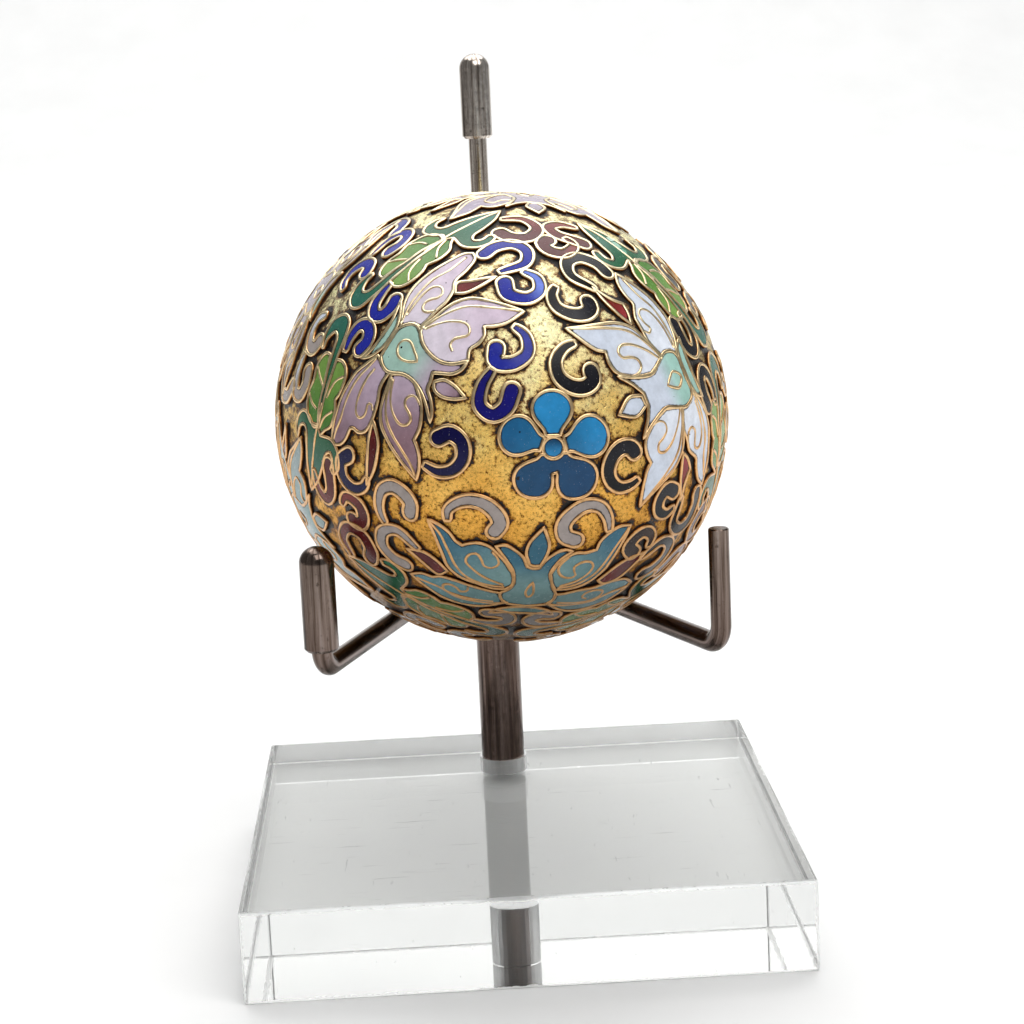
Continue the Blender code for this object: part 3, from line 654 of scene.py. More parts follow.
HOOK = [(10.0, -10.0), (9.9, -12.0), (8.2, -13.7), (5.9, -13.1), (4.9, -11.4), (6.3, -10.3)]
HOOK_LEFT = [(11.1, -10.2), (10.9, -12.4), (9.6, -14.0), (7.7, -14.4), (6.0, -13.4), (5.8, -11.6),
             (7.1, -10.5)]
THIRD_HOOK = [(4.0, -11.6), (1.4, -11.8), (-0.8, -13.0), (-0.9, -14.9), (0.8, -15.7), (3.1, -15.1)]
SIDE_UPPER = [(15.0, -3.0), (18.6, -4.2), (20.3, -2.6), (20.0, -0.3), (18.0, 1.0), (16.3, 1.0)]
SIDE_LOWER = [(17.2, -5.0), (17.6, -7.2), (16.2, -8.9), (14.3, -8.6), (13.2, -6.5), (14.2, -4.8)]
SIDE_LOWER_WHITE = [(18.4, -7.4), (17.6, -9.0), (15.9, -9.8), (14.2, -9.0), (13.2, -7.4),
                    (13.4, -6.0), (14.2, -5.6)]
SIDE_LOWER_SHORT = [(15.9, -4.6), (16.2, -6.3), (15.0, -7.7), (13.4, -7.4), (12.6, -6.0), (13.5, -4.7)]
SIDE_LEFT = [(17.0, -3.2), (18.4, -3.0), (19.6, -1.4), (19.2, 0.8), (17.2, 1.9), (15.8, 0.8)]
SIDE_GREY = [(21.8, -7.6), (20.6, -6.4), (18.9, -5.8), (17.2, -6.0), (16.1, -7.2), (16.1, -8.9),
             (16.9, -10.4), (18.2, -10.7)]
OVER_CROWN = [(6.0, 8.7), (4.0, 8.7), (2.3, 8.3), (1.4, 7.2), (1.8, 6.1), (3.0, 5.6), (4.3, 5.8)]
OVER_CROWN_LEFT = [(4.6, 8.4), (2.5, 8.8), (0.9, 8.5), (0.3, 7.4), (0.8, 6.2), (2.0, 5.6), (3.2, 6.0)]
OVER_CROWN_WHITE = [(6.6, 8.4), (4.5, 8.8), (2.5, 8.4), (1.4, 7.1), (2.2, 5.8), (4.0, 5.5), (5.8, 5.8)]
BUD_LEFT = [(-5.3, -12.0), (-2.3, -12.5), (-1.0, -14.8), (-2.3, -16.8), (-4.7, -16.7), (-5.9, -15.5)]
BUD_RIGHT = [(4.7, -13.0), (2.2, -13.1), (0.7, -14.2), (1.4, -15.7), (3.2, -16.4), (5.0, -16.7)]
BUD_RIGHT_FAR = [(7.3, -11.5), (4.8, -11.6), (3.3, -12.7), (4.0, -14.2), (5.8, -14.9), (7.6, -15.2)]
BUD_TIP_FAR = [(2.2, -15.8), (3.2, -17.1), (1.8, -18.9), (0.0, -18.7), (-0.7, -17.6), (0.0, -16.7)]
BUD_TIP = [(2.4, -16.3), (3.5, -17.6), (2.0, -19.6), (0.1, -19.4), (-0.6, -18.2), (0.1, -17.3)]
OVER_LEAF = [
    [(2.0, 17.2), (3.0, 18.6), (5.0, 18.8), (6.7, 17.5), (6.6, 15.8), (5.5, 15.3)],
    [(8.0, 17.9), (11.0, 18.0), (13.4, 16.7), (13.1, 15.0), (11.3, 14.3), (9.7, 14.8)],
    [(9.0, 22.5), (12.0, 24.0), (15.0, 22.5), (14.8, 20.0), (13.0, 18.8)],
]
# Scrolls round the flower, in the flower's own mm, with their pastes
ROUND_FLOWER = [
    ("black", [(-12.8, 4.2), (-12.2, 2.6), (-10.6, 1.3), (-8.6, 1.5), (-7.3, 3.0), (-7.1, 4.6), (-7.9, 5.8),
               (-9.0, 5.7)]),
    ("black", [(5.2, 11.6), (5.9, 10.4), (6.0, 8.8), (5.0, 7.5), (3.6, 7.1), (2.0, 7.6), (0.9, 9.0),
               (1.0, 10.4), (1.6, 10.9)]),
    ("grey", [(12.0, 7.6), (9.9, 7.2), (8.2, 6.0), (7.8, 4.2), (8.6, 2.4), (10.2, 1.2), (11.8, 1.5),
              (12.6, 2.9)]),
    ("grey", [(9.2, -13.6), (7.7, -13.5), (6.6, -12.2), (6.25, -10.7), (6.7, -8.9), (8.0, -7.4),
              (9.5, -6.9), (10.6, -7.6)]),
]


def scroll_outline(line):
    """Band edges left and right of a middle line, widening to a half circle round its end."""
    middle = smooth(line)
    along = np.gradient(middle, axis=0)
    along /= np.linalg.norm(along, axis=1, keepdims=True)
    across = np.stack([-along[:, 1], along[:, 0]], axis=1)
    share = np.linspace(0.0, 1.0, len(middle))[:, None]
    half = (SCROLL_THIN + (SCROLL_WIDE - SCROLL_THIN) * share ** 0.5) / 2
    turn = np.linspace(math.pi / 2, -math.pi / 2, SCROLL_ROUND)[1:-1, None]
    cap = middle[-1] + half[-1] * (np.sin(turn) * across[-1] + np.cos(turn) * along[-1])
    return np.concatenate([middle + across * half, cap, (middle - across * half)[::-1]])


print("widest scroll", SCROLL_WIDE, "mm")

# %% Flower petals
# Each petal's turn in degrees and its size, and the lower two as one cell
UPPER_PETALS = [(102.0, 1.07), (178.0, 1.03), (247.5, 1.01)]
LOWER_PETALS = [(326.0, 1.02), (34.5, 1.11)]
SLIT_END = 2.9
ROOT_ANGLE = math.radians(58.0)
ROOT_STEPS, EYE_STEPS = 9, 25
FLOWER_RING = 1.34
PETAL = [[(1.45, -0.9), (2.1, -1.05), (2.7, -1.5), (3.5, -2.1), (4.5, -2.45), (5.5, -2.25), (6.2, -1.7),
          (6.7, -0.85), (6.85, 0.0), (6.7, 0.85), (6.2, 1.7), (5.5, 2.25), (4.5, 2.45), (3.5, 2.1),
          (2.7, 1.5), (2.1, 1.05), (1.45, 0.9)]]


def turned(drawing, angle):
    """A drawing turned about the origin."""
    cosine, sine = math.cos(angle), math.sin(angle)
    return drawing @ np.array([[cosine, sine], [-sine, cosine]])


def arc(start, stop, count, radius):
    """Points on a circle about the origin, from one angle to the other."""
    angle = np.linspace(start, stop, count)
    return np.stack([np.cos(angle), np.sin(angle)], axis=1) * radius


print("one petal:", len(outline(PETAL)), "points")


# %% [markdown]
# ## Colours of the paste
#
# Each cell is filled with one paste, or with two wet ones that run together, which is why a body is
# mint at the top and lilac at its foot. A blend is two colours and the line between them. A few blends
# also carry painted shade or a painted highlight, marked where they stand.

# %% Paste colours
MINT, LILAC, MAUVE, PALE_LILAC, DUSK_LILAC = "#A9CCBE", "#DDCADB", "#94757F", "#E8DDE9", "#C0ABBD"
WHITE, COOL_WHITE, SEA = "#E9EEF8", "#D3DBE9", "#A8D2C6"
TEAL, PALE_TEAL, GREY_WHITE = "#3A6C82", "#7FA3A3", "#A79C97"
COBALT, BRIGHT_COBALT, BLACK, GREY_BLACK = "#1A1770", "#252E9C", "#070709", "#1C1C22"
# The first is a light blue that stands for a painted highlight on cobalt paste
COBALT_HIGHLIGHT, NAVY = "#7187E0", "#0D0A40"
BRICK, DARK_BRICK, ROSE = "#7E2C26", "#571819", "#A33E44"
LEAF_LIGHT, LEAF_DEEP, LEAF_GREEN, LEAF_TEAL = "#7BA24C", "#55863A", "#2E6644", "#2F6C5C"
TURQUOISE, MID_TURQUOISE, DEEP_TURQUOISE = "#2E8BC4", "#266F9D", "#1A4A70"
UPPER_PASTES = [(MID_TURQUOISE, TURQUOISE), (TURQUOISE, TURQUOISE), (MID_TURQUOISE, "#22618E")]
# Painted shade: the lower pair of the flower's petals takes darker turquoise than the upper three
LOWER_PASTES_SHADED = (DEEP_TURQUOISE, "#1A456C")
PALE_PINK, GREY_LILAC, GREY_BLUE, SEA_TEAL = "#B3A7AF", "#B4A9BA", "#98ABAC", "#6F9DA6"

# From point and to point of each cell's blend, in the lotus's own mm
BLEND_LINES = {"body": ((0, -1), (0, -6)), "crescent": ((0, 0), (1, 0)), "bud": ((0, -7), (0, -11)),
               "lower": ((3, -2), (10, -7)), "upper": ((4, 1), (14, 2)), "spike": ((9, -1), (13, -3))}


def lotus_blends(pastes, lines=None):
    """Cell name to (first colour, second colour, from point, to point); lines given replace the usual."""
    lines = {**BLEND_LINES, **(lines or {})}
    return {name: (*pair, *(lines[name] if name in lines else lines[name.split()[0]]))
            for name, pair in pastes.items()}


SPIKE_PASTES = (BRICK, DARK_BRICK)
LOTUS_BLENDS = {
    # On the lilac lotus the left petals take darker blends, DUSK_LILAC to MAUVE, than the right ones: painted
    # shade
    "lilac": lotus_blends(
        {"body": (MINT, DUSK_LILAC), "crescent": (MINT, MINT), "bud": (DUSK_LILAC, MAUVE),
         "lower": (PALE_LILAC, LILAC), "lower left": (DUSK_LILAC, MAUVE), "upper": (PALE_LILAC, LILAC),
         "upper left": (DUSK_LILAC, MAUVE), "spike": SPIKE_PASTES},
        {"body": ((0, -1.6), (0, -6.5)), "bud": ((0, -6), (0, -11)), "upper left": ((4, 1), (17, 3))}),
    "white": lotus_blends(
        {"body": (SEA, COOL_WHITE), "crescent": (SEA, MINT), "bud": (COOL_WHITE, COOL_WHITE),
         "lower": (WHITE, COOL_WHITE), "upper": (WHITE, COOL_WHITE), "spike": (ROSE, BRICK)},
        {"body": ((0, 0.5), (0, -3.0))}),
    "teal": lotus_blends(
        {"body": (PALE_TEAL, TEAL), "crescent": (PALE_TEAL, MINT), "bud": (TEAL, TEAL),
         "lower": (PALE_TEAL, TEAL), "upper": (PALE_TEAL, SEA_TEAL), "spike": SPIKE_PASTES},
        {"lower": ((4, -2), (11, -8))}),
    "pink": lotus_blends(
        {"body": (PALE_PINK, GREY_LILAC), "crescent": (MINT, PALE_PINK), "bud": (GREY_LILAC, PALE_PINK),
         "lower": (PALE_PINK, GREY_LILAC), "upper": (PALE_PINK, GREY_LILAC), "spike": SPIKE_PASTES}),
    "grey blue": lotus_blends(
        {"body": (GREY_BLUE, PALE_TEAL), "crescent": (MINT, GREY_BLUE), "bud": (GREY_BLUE, PALE_TEAL),
         "lower": (PALE_TEAL, GREY_BLUE), "upper": (PALE_TEAL, GREY_BLUE), "spike": SPIKE_PASTES}),
}
# One scroll beside the lilac lotus is cobalt paste given a painted highlight, lighter blue towards its thin
# end
SCROLL_BLENDS = {"cobalt": (BRIGHT_COBALT, BRIGHT_COBALT), "deep cobalt": (COBALT, COBALT),
                 "navy": (NAVY, NAVY), "highlit cobalt": (COBALT_HIGHLIGHT, BRIGHT_COBALT),
                 "black": (BLACK, GREY_BLACK), "grey": (GREY_WHITE, GREY_WHITE),
                 "brick": (BRICK, DARK_BRICK), "white": (COOL_WHITE, GREY_WHITE),
                 "brown": ("#3E2C25", "#2A1C18")}
print(len(LOTUS_BLENDS), "kinds of lotus and", len(SCROLL_BLENDS), "kinds of scroll")


# %% [markdown]
# ## Collecting the cells
#
# Every cell is kept as its outline on the flat drawing with the spot it goes to, so the same lists
# make the enamel and the wires round it. The hand-laid motifs sit a little off their exact thirds.

# %% Lists of cells and wires
INNER = [(40.3, 142.1, "lilac", "cobalt", LILAC_LOTUS), (35.5, 20.1, "white", "black", WHITE_LOTUS),
         (36.9, 262.9, "teal", "grey", TEAL_LOTUS)]
BELT = [(79.0, 82.0, "pink", (BUD_LEFT, BUD_RIGHT, BUD_TIP)),
        (79.0, 201.5, "grey blue", (BUD_LEFT, BUD_RIGHT_FAR, BUD_TIP_FAR)),
        (79.0, 321.5, "pink", (BUD_LEFT, BUD_RIGHT))]
BELT_BACK = [(82.0, 142.0, "pink"), (86.5, 22.0, "white"), (86.5, 262.0, "grey blue")]
FAR = [(136.0, 82.0, "white", "black"), (136.0, 202.0, "lilac", "cobalt"), (136.0, 322.0, "teal", "grey")]
BELT_SIZE = 0.92
BELT_LEAF_SIZE = 0.80

# The scrolls at the sides of the three lotuses: (middle line, paste, on the left)
SIDE_SCROLLS = {
    "lilac": [(HOOK, "cobalt", False), (HOOK_LEFT, "navy", True), (THIRD_HOOK, "deep cobalt", False),
              (SIDE_UPPER, "cobalt", False), (SIDE_LOWER, "highlit cobalt", False), (SIDE_LEFT, "navy", True),
              (SIDE_GREY, "grey", True), (OVER_CROWN, "cobalt", False), (OVER_CROWN_LEFT, "cobalt", True)],
    "white": [(SIDE_UPPER, "black", False), (SIDE_LOWER_SHORT, "black", False), (SIDE_UPPER, "black", True),
              (SIDE_LOWER_WHITE, "black", True), (OVER_CROWN_WHITE, "black", False),
              (OVER_CROWN_WHITE, "black", True)],
    "teal": [(SIDE_UPPER, "grey", False), (SIDE_UPPER, "black", True), (SIDE_LOWER_SHORT, "brown", True),
             (OVER_CROWN, "grey", False), (OVER_CROWN, "grey", True)],
}

cells = []
inner_wires = []


def on_blunt_end(points):
    """Whether a cell or a wire lies on the half that the blunt end belongs to."""
    return points[:, 2].mean() > 0


def placed(drawing, size, flip, mirror):
    """A drawing scaled, turned end for end or mirrored, as its motif needs."""
    return drawing * size * np.array([-1.0 if mirror else 1.0, -1.0 if flip else 1.0])


def add_cell(runs, spot, blend, size=1.0, flip=False, mirror=False):
    """One enamel cell: its outline, its spot and its blend with the blend's line placed alike."""
    drawing = outline(runs) if isinstance(runs, list) else runs
    line = placed(np.array(blend[2:], dtype=float), size, flip, mirror)
    cells.append((placed(drawing, size, flip, mirror), spot, blend[0], blend[1], line))


def add_lotus(spot, blends, drawn=PLAIN, size=1.0, flip=False):
    """All the cells and inner wires of one lotus."""
    for name in ("body", "crescent", "bud"):
        add_cell(drawn[name], spot, blends[name], size, flip)
    inner_wires.append((placed(outline(drawn["eye"]), size, flip, False), spot, True))
    for side, mirror in ((drawn["right"], False), (drawn["left"], True)):
        for name in ("lower", "upper", "spike"):
            blend = blends.get(name + " left", blends[name]) if mirror else blends[name]
            add_cell(side[name], spot, blend, size, flip, mirror)
        for line in side["veins"]:
            inner_wires.append((placed(smooth(line), size, flip, mirror), spot, False))


def add_leaf(spot, mirror, flip=False, size=1.0):
    """One leaf branch: two dark cells, two light ones and their veins."""
    for runs, blend in ((LEAF_CURL, (LEAF_TEAL, LEAF_GREEN, (1, 12), (9, 9))),
                        (LEAF_UPPER, (LEAF_LIGHT, LEAF_DEEP, (7, 12), (14, 9))),
                        (LEAF_LOWER, (LEAF_LIGHT, LEAF_DEEP, (7, 6), (14, 8))),
                        (LEAF_END, (LEAF_GREEN, LEAF_TEAL, (15, 8), (23, 8)))):
        add_cell(runs, spot, blend, size, flip, mirror)
    for line in LEAF_VEINS:
        inner_wires.append((placed(smooth(line), size, flip, mirror), spot, False))


def add_scroll(line, spot, kind, mirror=False, size=1.0, flip=False):
    """One scroll, its colour running from its thin end to its round one."""
    add_cell(scroll_outline(line), spot, (*SCROLL_BLENDS[kind], line[0], line[-1]), size, flip, mirror)


def add_flower(spot):
    """Three petals, two more that share one root above a short slit, and the round eye between them."""
    for (degrees, size), pastes in zip(UPPER_PETALS, UPPER_PASTES):
        angle = math.radians(degrees)
        low, high = turned(np.array([[2.0, 0.0], [6.0, 0.0]]), angle)
        add_cell(turned(outline(PETAL), angle) * size, spot, (*pastes, low, high))
    left, right = [turned(smooth(PETAL[0]), math.radians(degrees)) * size
                   for degrees, size in LOWER_PETALS]
    left = left[:np.nonzero(np.linalg.norm(left, axis=1) > SLIT_END)[0][-1] + 1]
    right = right[np.nonzero(np.linalg.norm(right, axis=1) > SLIT_END)[0][0]:]
    root = arc(ROOT_ANGLE, -ROOT_ANGLE, ROOT_STEPS, FLOWER_RING)
    add_cell(np.concatenate([left, right, root]), spot, (*LOWER_PASTES_SHADED, (0.0, -5.0), (0.0, 5.0)))
    eye = arc(0.0, 2 * math.pi, EYE_STEPS, FLOWER_RING)[:-1]
    add_cell(eye, spot, (DEEP_TURQUOISE, TURQUOISE, (-1, 0), (1, 0)))


# %% Place every motif
for polar, azimuth, kind, scrolls, drawn in INNER:
    spot = spot_frame(polar, azimuth)
    add_lotus(spot, LOTUS_BLENDS[kind], drawn)
    for line, paste, mirror in SIDE_SCROLLS[kind]:
        add_scroll(line, spot, paste, mirror)
    for mirror in (False, True):
        add_leaf(spot, mirror)
        for line in OVER_LEAF:
            add_scroll(line, spot, "white" if kind == "lilac" and mirror else scrolls, mirror)
for polar, azimuth, kind, lines in BELT:
    spot = spot_frame(polar, azimuth)
    add_lotus(spot, LOTUS_BLENDS[kind], PLAIN, BELT_SIZE)
    for line in lines:
        add_scroll(line, spot, "brick")
    for mirror in (False, True):
        add_leaf(spot, mirror, False, BELT_LEAF_SIZE)
for polar, azimuth, kind in BELT_BACK:
    add_lotus(spot_frame(polar, azimuth), LOTUS_BLENDS[kind], PLAIN, BELT_SIZE, True)
for polar, azimuth, kind, scrolls in FAR:
    spot = spot_frame(polar, azimuth)
    add_lotus(spot, LOTUS_BLENDS[kind], PLAIN, 1.0, True)
    for mirror in (False, True):
        add_leaf(spot, mirror, True)
        add_scroll(HOOK_LEFT, spot, scrolls, mirror, 1.0, True)
        add_scroll(SIDE_UPPER, spot, scrolls, mirror, 1.0, True)
for pole in (0.0, 180.0):
    add_flower(spot_frame(pole, 0.0))
for paste, line in ROUND_FLOWER:
    add_scroll(line, spot_frame(0.0, 0.0), paste)
print(len(cells), "cells,", len(inner_wires), "inner wires")


# %% [markdown]
# ## Wire on edge
#
# Flat wire stands on edge on the copper. Grinding and polishing leave its top nearly flat with
# eased shoulders. Its section is carried along the path: two walls, two shoulders and the top, with
# the walls going down to the ground on an outline and only into the enamel inside a motif.

# %% Sweep wires along their paths
OUTLINE_WIDTH = 0.44 * MM
OUTLINE_DEPTH = RELIEF * 1.1
INNER_WIDTH = 0.38 * MM
SHOULDER = 0.10 * MM
INNER_DEPTH = 0.25 * MM
WOBBLE = 0.04 * MM
SECTION = np.array([(-0.5, -1.0), (-0.5, -0.1), (-0.30, 0.0), (0.30, 0.0), (0.5, -0.1), (0.5, -1.0)])


def waver(points, scale_mm, seed):
    """Smooth numbers between -1 and 1 that wander along the points: sines of their coordinates."""
    place = points / (scale_mm * MM)
    return (np.sin(place @ (2.1, 1.7, 2.6) + seed) + np.sin(place @ (-1.3, 2.9, 1.1) + 2.3 * seed)) / 2


def wire_sweep(points, closed, width, depth):
    """Points and faces of one wire: its section set across the path on the egg's normals."""
    normal = egg_normals(points)
    if closed:
        along = np.roll(points, -1, axis=0) - np.roll(points, 1, axis=0)
    else:
        along = np.gradient(points, axis=0)
    across = np.cross(normal, along)
    across /= np.maximum(np.linalg.norm(across, axis=1, keepdims=True), 1e-12)
    wide = width * (1.0 + 0.10 * waver(points, 2.2, 1.0))
    top = WOBBLE * waver(points, 1.6, 4.0)
    rows, columns = len(points), len(SECTION)
    down = np.where(SECTION[:, 1] > -0.5, SECTION[:, 1] * SHOULDER / 0.1, SECTION[:, 1] * depth)
    lift = down[None, :] + top[:, None]
    made = (points[:, None, :] + across[:, None, :] * (wide[:, None] * SECTION[:, 0])[..., None]
            + normal[:, None, :] * lift[..., None])
    faces = grid_faces(rows, columns, round_rows=closed)
    far_end = [(rows - 1) * columns + i for i in reversed(range(columns))]
    ends = [] if closed else [list(range(columns)), far_end]
    low = np.broadcast_to(np.clip(-down / RELIEF, 0.0, 1.0), (rows, columns))
    return made.reshape(-1, 3), faces, ends, low.ravel()


def gather(name, wires, finish):
    """Many wires as one mesh, with how deep each point lies as an attribute."""
    points, quads, ends, depths, base = [], [], [], [], 0
    for path, closed, width, depth in wires:
        made, faces, tips, low = wire_sweep(path, closed, width, depth)
        points.append(made)
        quads += (faces + base).tolist()
        ends += [[i + base for i in tip] for tip in tips]
        depths.append(low)
        base += len(made)
    points, depths = np.concatenate(points), np.concatenate(depths)
    return make_piece(name, points @ egg_frame + np.array(EGG_MIDDLE), quads + ends, finish,
                     {"depth": depths})


# %% [markdown]
# ### The wires' finish
#
# Gilt wire is polished only where grindstone and hand reach, so its top is bright and its walls keep the
# soot of the kiln; their darkening towards the ground is also painted shade in the narrow recess. Painting
# that would take a map of every wire. The sweep already knows how deep each of its points lies, so the
# finish reads that number instead. The tops are painted paler high on the egg and darker low down: painted
# light and shade.

# %% Finish of the wires
# Heights in mm over which the painted shade on the egg's underside fades out, and over which the painted
# light on the gilding runs from its darkest low down to its palest on top
UNDER_SHADE_HEIGHTS = (44.0, 68.0)
GILT_LIGHT_HEIGHTS = (48.0, 96.0)


def axis_share(tree, where, axis, start, stop):
    """From 0 at a start to 1 at a stop, both in mm along one axis of the Object coordinates."""
    apart = add(tree, "ShaderNodeSeparateXYZ", {"Vector": where})
    past = sums(tree, "SUBTRACT", apart.outputs[axis], start * MM)
    return sums(tree, "DIVIDE", past, (stop - start) * MM, clamp=True)


def under_shade(tree, where, colour, darkest):
    """A colour darkened towards the underside, which lies in the cradle: painted shade, and a painted dark
    reflection from below.
    """
    high = axis_share(tree, where, "Z", *UNDER_SHADE_HEIGHTS)
    shade = ramp(tree, high, (0.0, darkest), (0.30, darkest * 1.5), (0.60, 0.82), (1.0, 1.0))
    return shaded(tree, colour, shade)


def wire_finish():
    """Gilt brass wire, ground and polished on top: cream gold above and tan below as painted light and shade,
    soot-brown and painted shade down its walls.
    """
    made, tree, shader, where = blank_material("Polished gilt wire")
    depth = attribute(tree, "depth")
    high = axis_share(tree, where, "Z", *GILT_LIGHT_HEIGHTS)
    speckle = noise(tree, where, 0.35, 4.0, 0.6)
    # Painted light and shade: the wire tops run from tan low on the egg to cream high up, by height
    top = ramp(tree, high, (0.0, "#CF9C66"), (0.45, "#E3B27C"), (0.75, "#F8DFAE"), (1.0, "#FFF0C8"))
    dull = ramp(tree, noise(tree, where, 0.8, 4.0, 0.7), (0.34, 0.72), (0.52, 1.0))
    top = shaded(tree, top, dull)
    ragged = sums(tree, "ADD", depth, centred(tree, speckle, 0.55))
    # The walls darken towards the ground to near black: soot, and painted shade in the recess
    wall = ramp(tree, ragged, (0.10, "#DDAE72"), (0.30, "#A0622A"), (0.55, "#4A260E"), (0.85, "#120904"))
    colour = mixed(tree, ramp(tree, depth, (0.08, 0.0), (0.20, 1.0)), top, wall)
    # Painted shade: the wire darkens towards the egg's underside
    colour = under_shade(tree, where, colour, 0.42)
    rough = ramp(tree, ragged, (0.1, 0.30), (0.7, 0.6))
    metal = ramp(tree, ragged, (0.55, 1.0), (0.9, 0.25))
    bump = bump_from(tree, noise(tree, where, 0.25), 0.25, 0.03)
    set_inputs(tree, shader, {"Base Color": colour, "Metallic": metal, "Roughness": rough, "Normal": bump})
    return made


# %% Make the wires
gilt_wire = wire_finish()
fronts, backs = [], []
for drawing, spot, *_ in cells:
    path = wrap(drawing, spot)
    (fronts if on_blunt_end(path) else backs).append((path, True, OUTLINE_WIDTH, OUTLINE_DEPTH))
for drawing, spot, closed in inner_wires:
    path = wrap(drawing, spot)
    (fronts if on_blunt_end(path) else backs).append((path, closed, INNER_WIDTH, INNER_DEPTH))
front_wires = gather("egg_wires_blunt_end", fronts, gilt_wire)
back_wires = gather("egg_wires_far_end", backs, gilt_wire)


# %% [markdown]
# ## Enamel in the cells
#
# Glass paste shrinks as it fuses and is ground back level with the wires, so each cell is a smooth
# skin a hair below their tops. A cell has any outline, so it is filled by triangulating the outline
# with a lattice of points inside it on the flat drawing, and then wrapped like its wires.

# %% Fill the cells
LATTICE = 0.42
ENAMEL_SINK = 0.09 * MM


def fill(drawing):
    """Triangles inside an outline, over its points and a staggered lattice of points."""
    low, high = drawing.min(axis=0), drawing.max(axis=0)
    rows = np.arange(low[1], high[1], LATTICE * 0.87)
    columns = np.arange(low[0], high[0], LATTICE)
    x, y = np.meshgrid(columns, rows)
    x = x + (np.arange(len(rows)) % 2)[:, None] * LATTICE / 2
    lattice = np.stack([x.ravel(), y.ravel()], axis=1)
    near = np.linalg.norm(lattice[:, None] - drawing[None], axis=2).min(axis=1)
    lattice = lattice[near > 0.2]
    flat = np.concatenate([drawing, lattice])
    points, _, faces, _, _, _ = delaunay_2d_cdt([Vector(p) for p in flat.tolist()], [],
                                                [list(range(len(drawing)))], 1, 1e-5)
    points = np.array([tuple(p) for p in points])
    used = np.unique(np.array(faces))
    index = np.zeros(len(points), dtype=int)
    index[used] = np.arange(len(used))
    return points[used], index[np.array(faces)]


def enamel_part(name, part, finish):
    """Many filled cells as one mesh, with paste colour and distance from the wire on each point."""
    points, faces, colours, edges, base = [], [], [], [], 0
    for drawing, spot, first, second, line in part:
        flat, triangles = fill(drawing)
        made = wrap(flat, spot)
        a, b, c = made[triangles[:, 0]], made[triangles[:, 1]], made[triangles[:, 2]]
        inside_out = (np.cross(b - a, c - a) * a).sum(axis=1) < 0
        triangles[inside_out] = triangles[inside_out][:, ::-1]
        run = line[1] - line[0]
        share = np.clip((flat - line[0]) @ run / max(run @ run, TINY), 0.0, 1.0)
        share = (share * share * (3 - 2 * share))[:, None]
        colours.append(np.array(linear(first)) * (1 - share) + np.array(linear(second)) * share)
        edge = np.linalg.norm(flat[:, None] - drawing[None], axis=2).min(axis=1)
        edges.append(edge)
        sag = ENAMEL_SINK * (1.0 + 0.35 * waver(made, 3.0, 2.0))
        points.append(on_egg(made, -sag))
        faces.append(triangles + base)
        base += len(flat)
    return make_piece(name, np.concatenate(points), np.concatenate(faces), finish,
                     {"edge": np.concatenate(edges)}, {"paste": np.concatenate(colours)})


# %% [markdown]
# ### The enamel's finish
#
# Each cell's colours come with its mesh. The material lays what firing and grinding do to all of them
# over the colours, clouds, unmelted grains and burst bubbles, each at its real size, so no cell needs a map
# of its own. It also darkens a thin line along the wires and adds painted shade towards the egg's underside.

# %% Finish of the enamel
def enamel_finish(flaws):
    """Fired opaque glass enamel, ground and polished by hand: glossy, faintly cloudy, with pin-holes.

    A flaw is a place on the egg, a radius and the colour that shows there.
    """
    made, tree, shader, where = blank_material("Fired glass enamel")
    paste = attribute(tree, "paste", "Color")
    # Clouds 1.6 mm across, where wet pastes ran together, and grains of 0.2 mm that didn't melt
    cloud = ramp(tree, noise(tree, where, 1.6, 5.0, 0.65), (0.25, 0.78), (0.75, 1.12))
    colour = shaded(tree, paste, cloud)
    fleck = ramp(tree, noise(tree, where, 0.22, 2.0, 0.5), (0.69, 0.0), (0.76, 0.25))
    colour = mixed(tree, fleck, colour, linear("#E8E4DC"))
    # Painted shade: the enamel darkens towards the egg's underside
    colour = under_shade(tree, where, colour, 0.20)
    # A dark, ragged line inside each cell along its wires
    wire_edge_dark = ramp(tree, sums(tree, "ADD", attribute(tree, "edge"),
                            sums(tree, "MULTIPLY", noise(tree, where, 0.5), 0.25)), (0.36, 0.0), (0.54, 1.0))
    colour = mixed(tree, wire_edge_dark, linear("#1A120C"), colour)
    # Burst bubbles: a dot of 0.15 mm in about every third 1.5 mm cell of a Voronoi pattern
    holes = add(tree, "ShaderNodeTexVoronoi", {"Vector": where, "Scale": 1.0 / (1.5 * MM), "Randomness": 1.0})
    pin = ramp(tree, holes.outputs["Distance"], (0.055, 1.0), (0.075, 0.0))
    rare = ramp(tree, holes.outputs["Color"], (0.70, 0.0), (0.72, 1.0))
    pin = sums(tree, "MULTIPLY", pin, rare)
    colour = mixed(tree, pin, colour, linear("#241C1A"))
    ragged = sums(tree, "SUBTRACT", noise(tree, where, 0.3, 3.0, 0.7), 0.5)
    for place, radius, tint in flaws:
        apart = add(tree, "ShaderNodeVectorMath", {0: where, 1: place}, operation="DISTANCE").outputs["Value"]
        reach = sums(tree, "ADD", apart, sums(tree, "MULTIPLY", ragged, radius * 1.6))
        hit = sums(tree, "LESS_THAN", reach, radius)
        colour = mixed(tree, hit, colour, linear(tint))
    bump = bump_from(tree, noise(tree, where, 0.9), 0.5, 0.02)
    rough = ramp(tree, noise(tree, where, 0.7), (0.3, 0.16), (0.7, 0.30))
    set_inputs(tree, shader, {"Base Color": colour, "Roughness": rough, "Specular IOR Level": 0.22,
                              "Normal": bump})
    return made


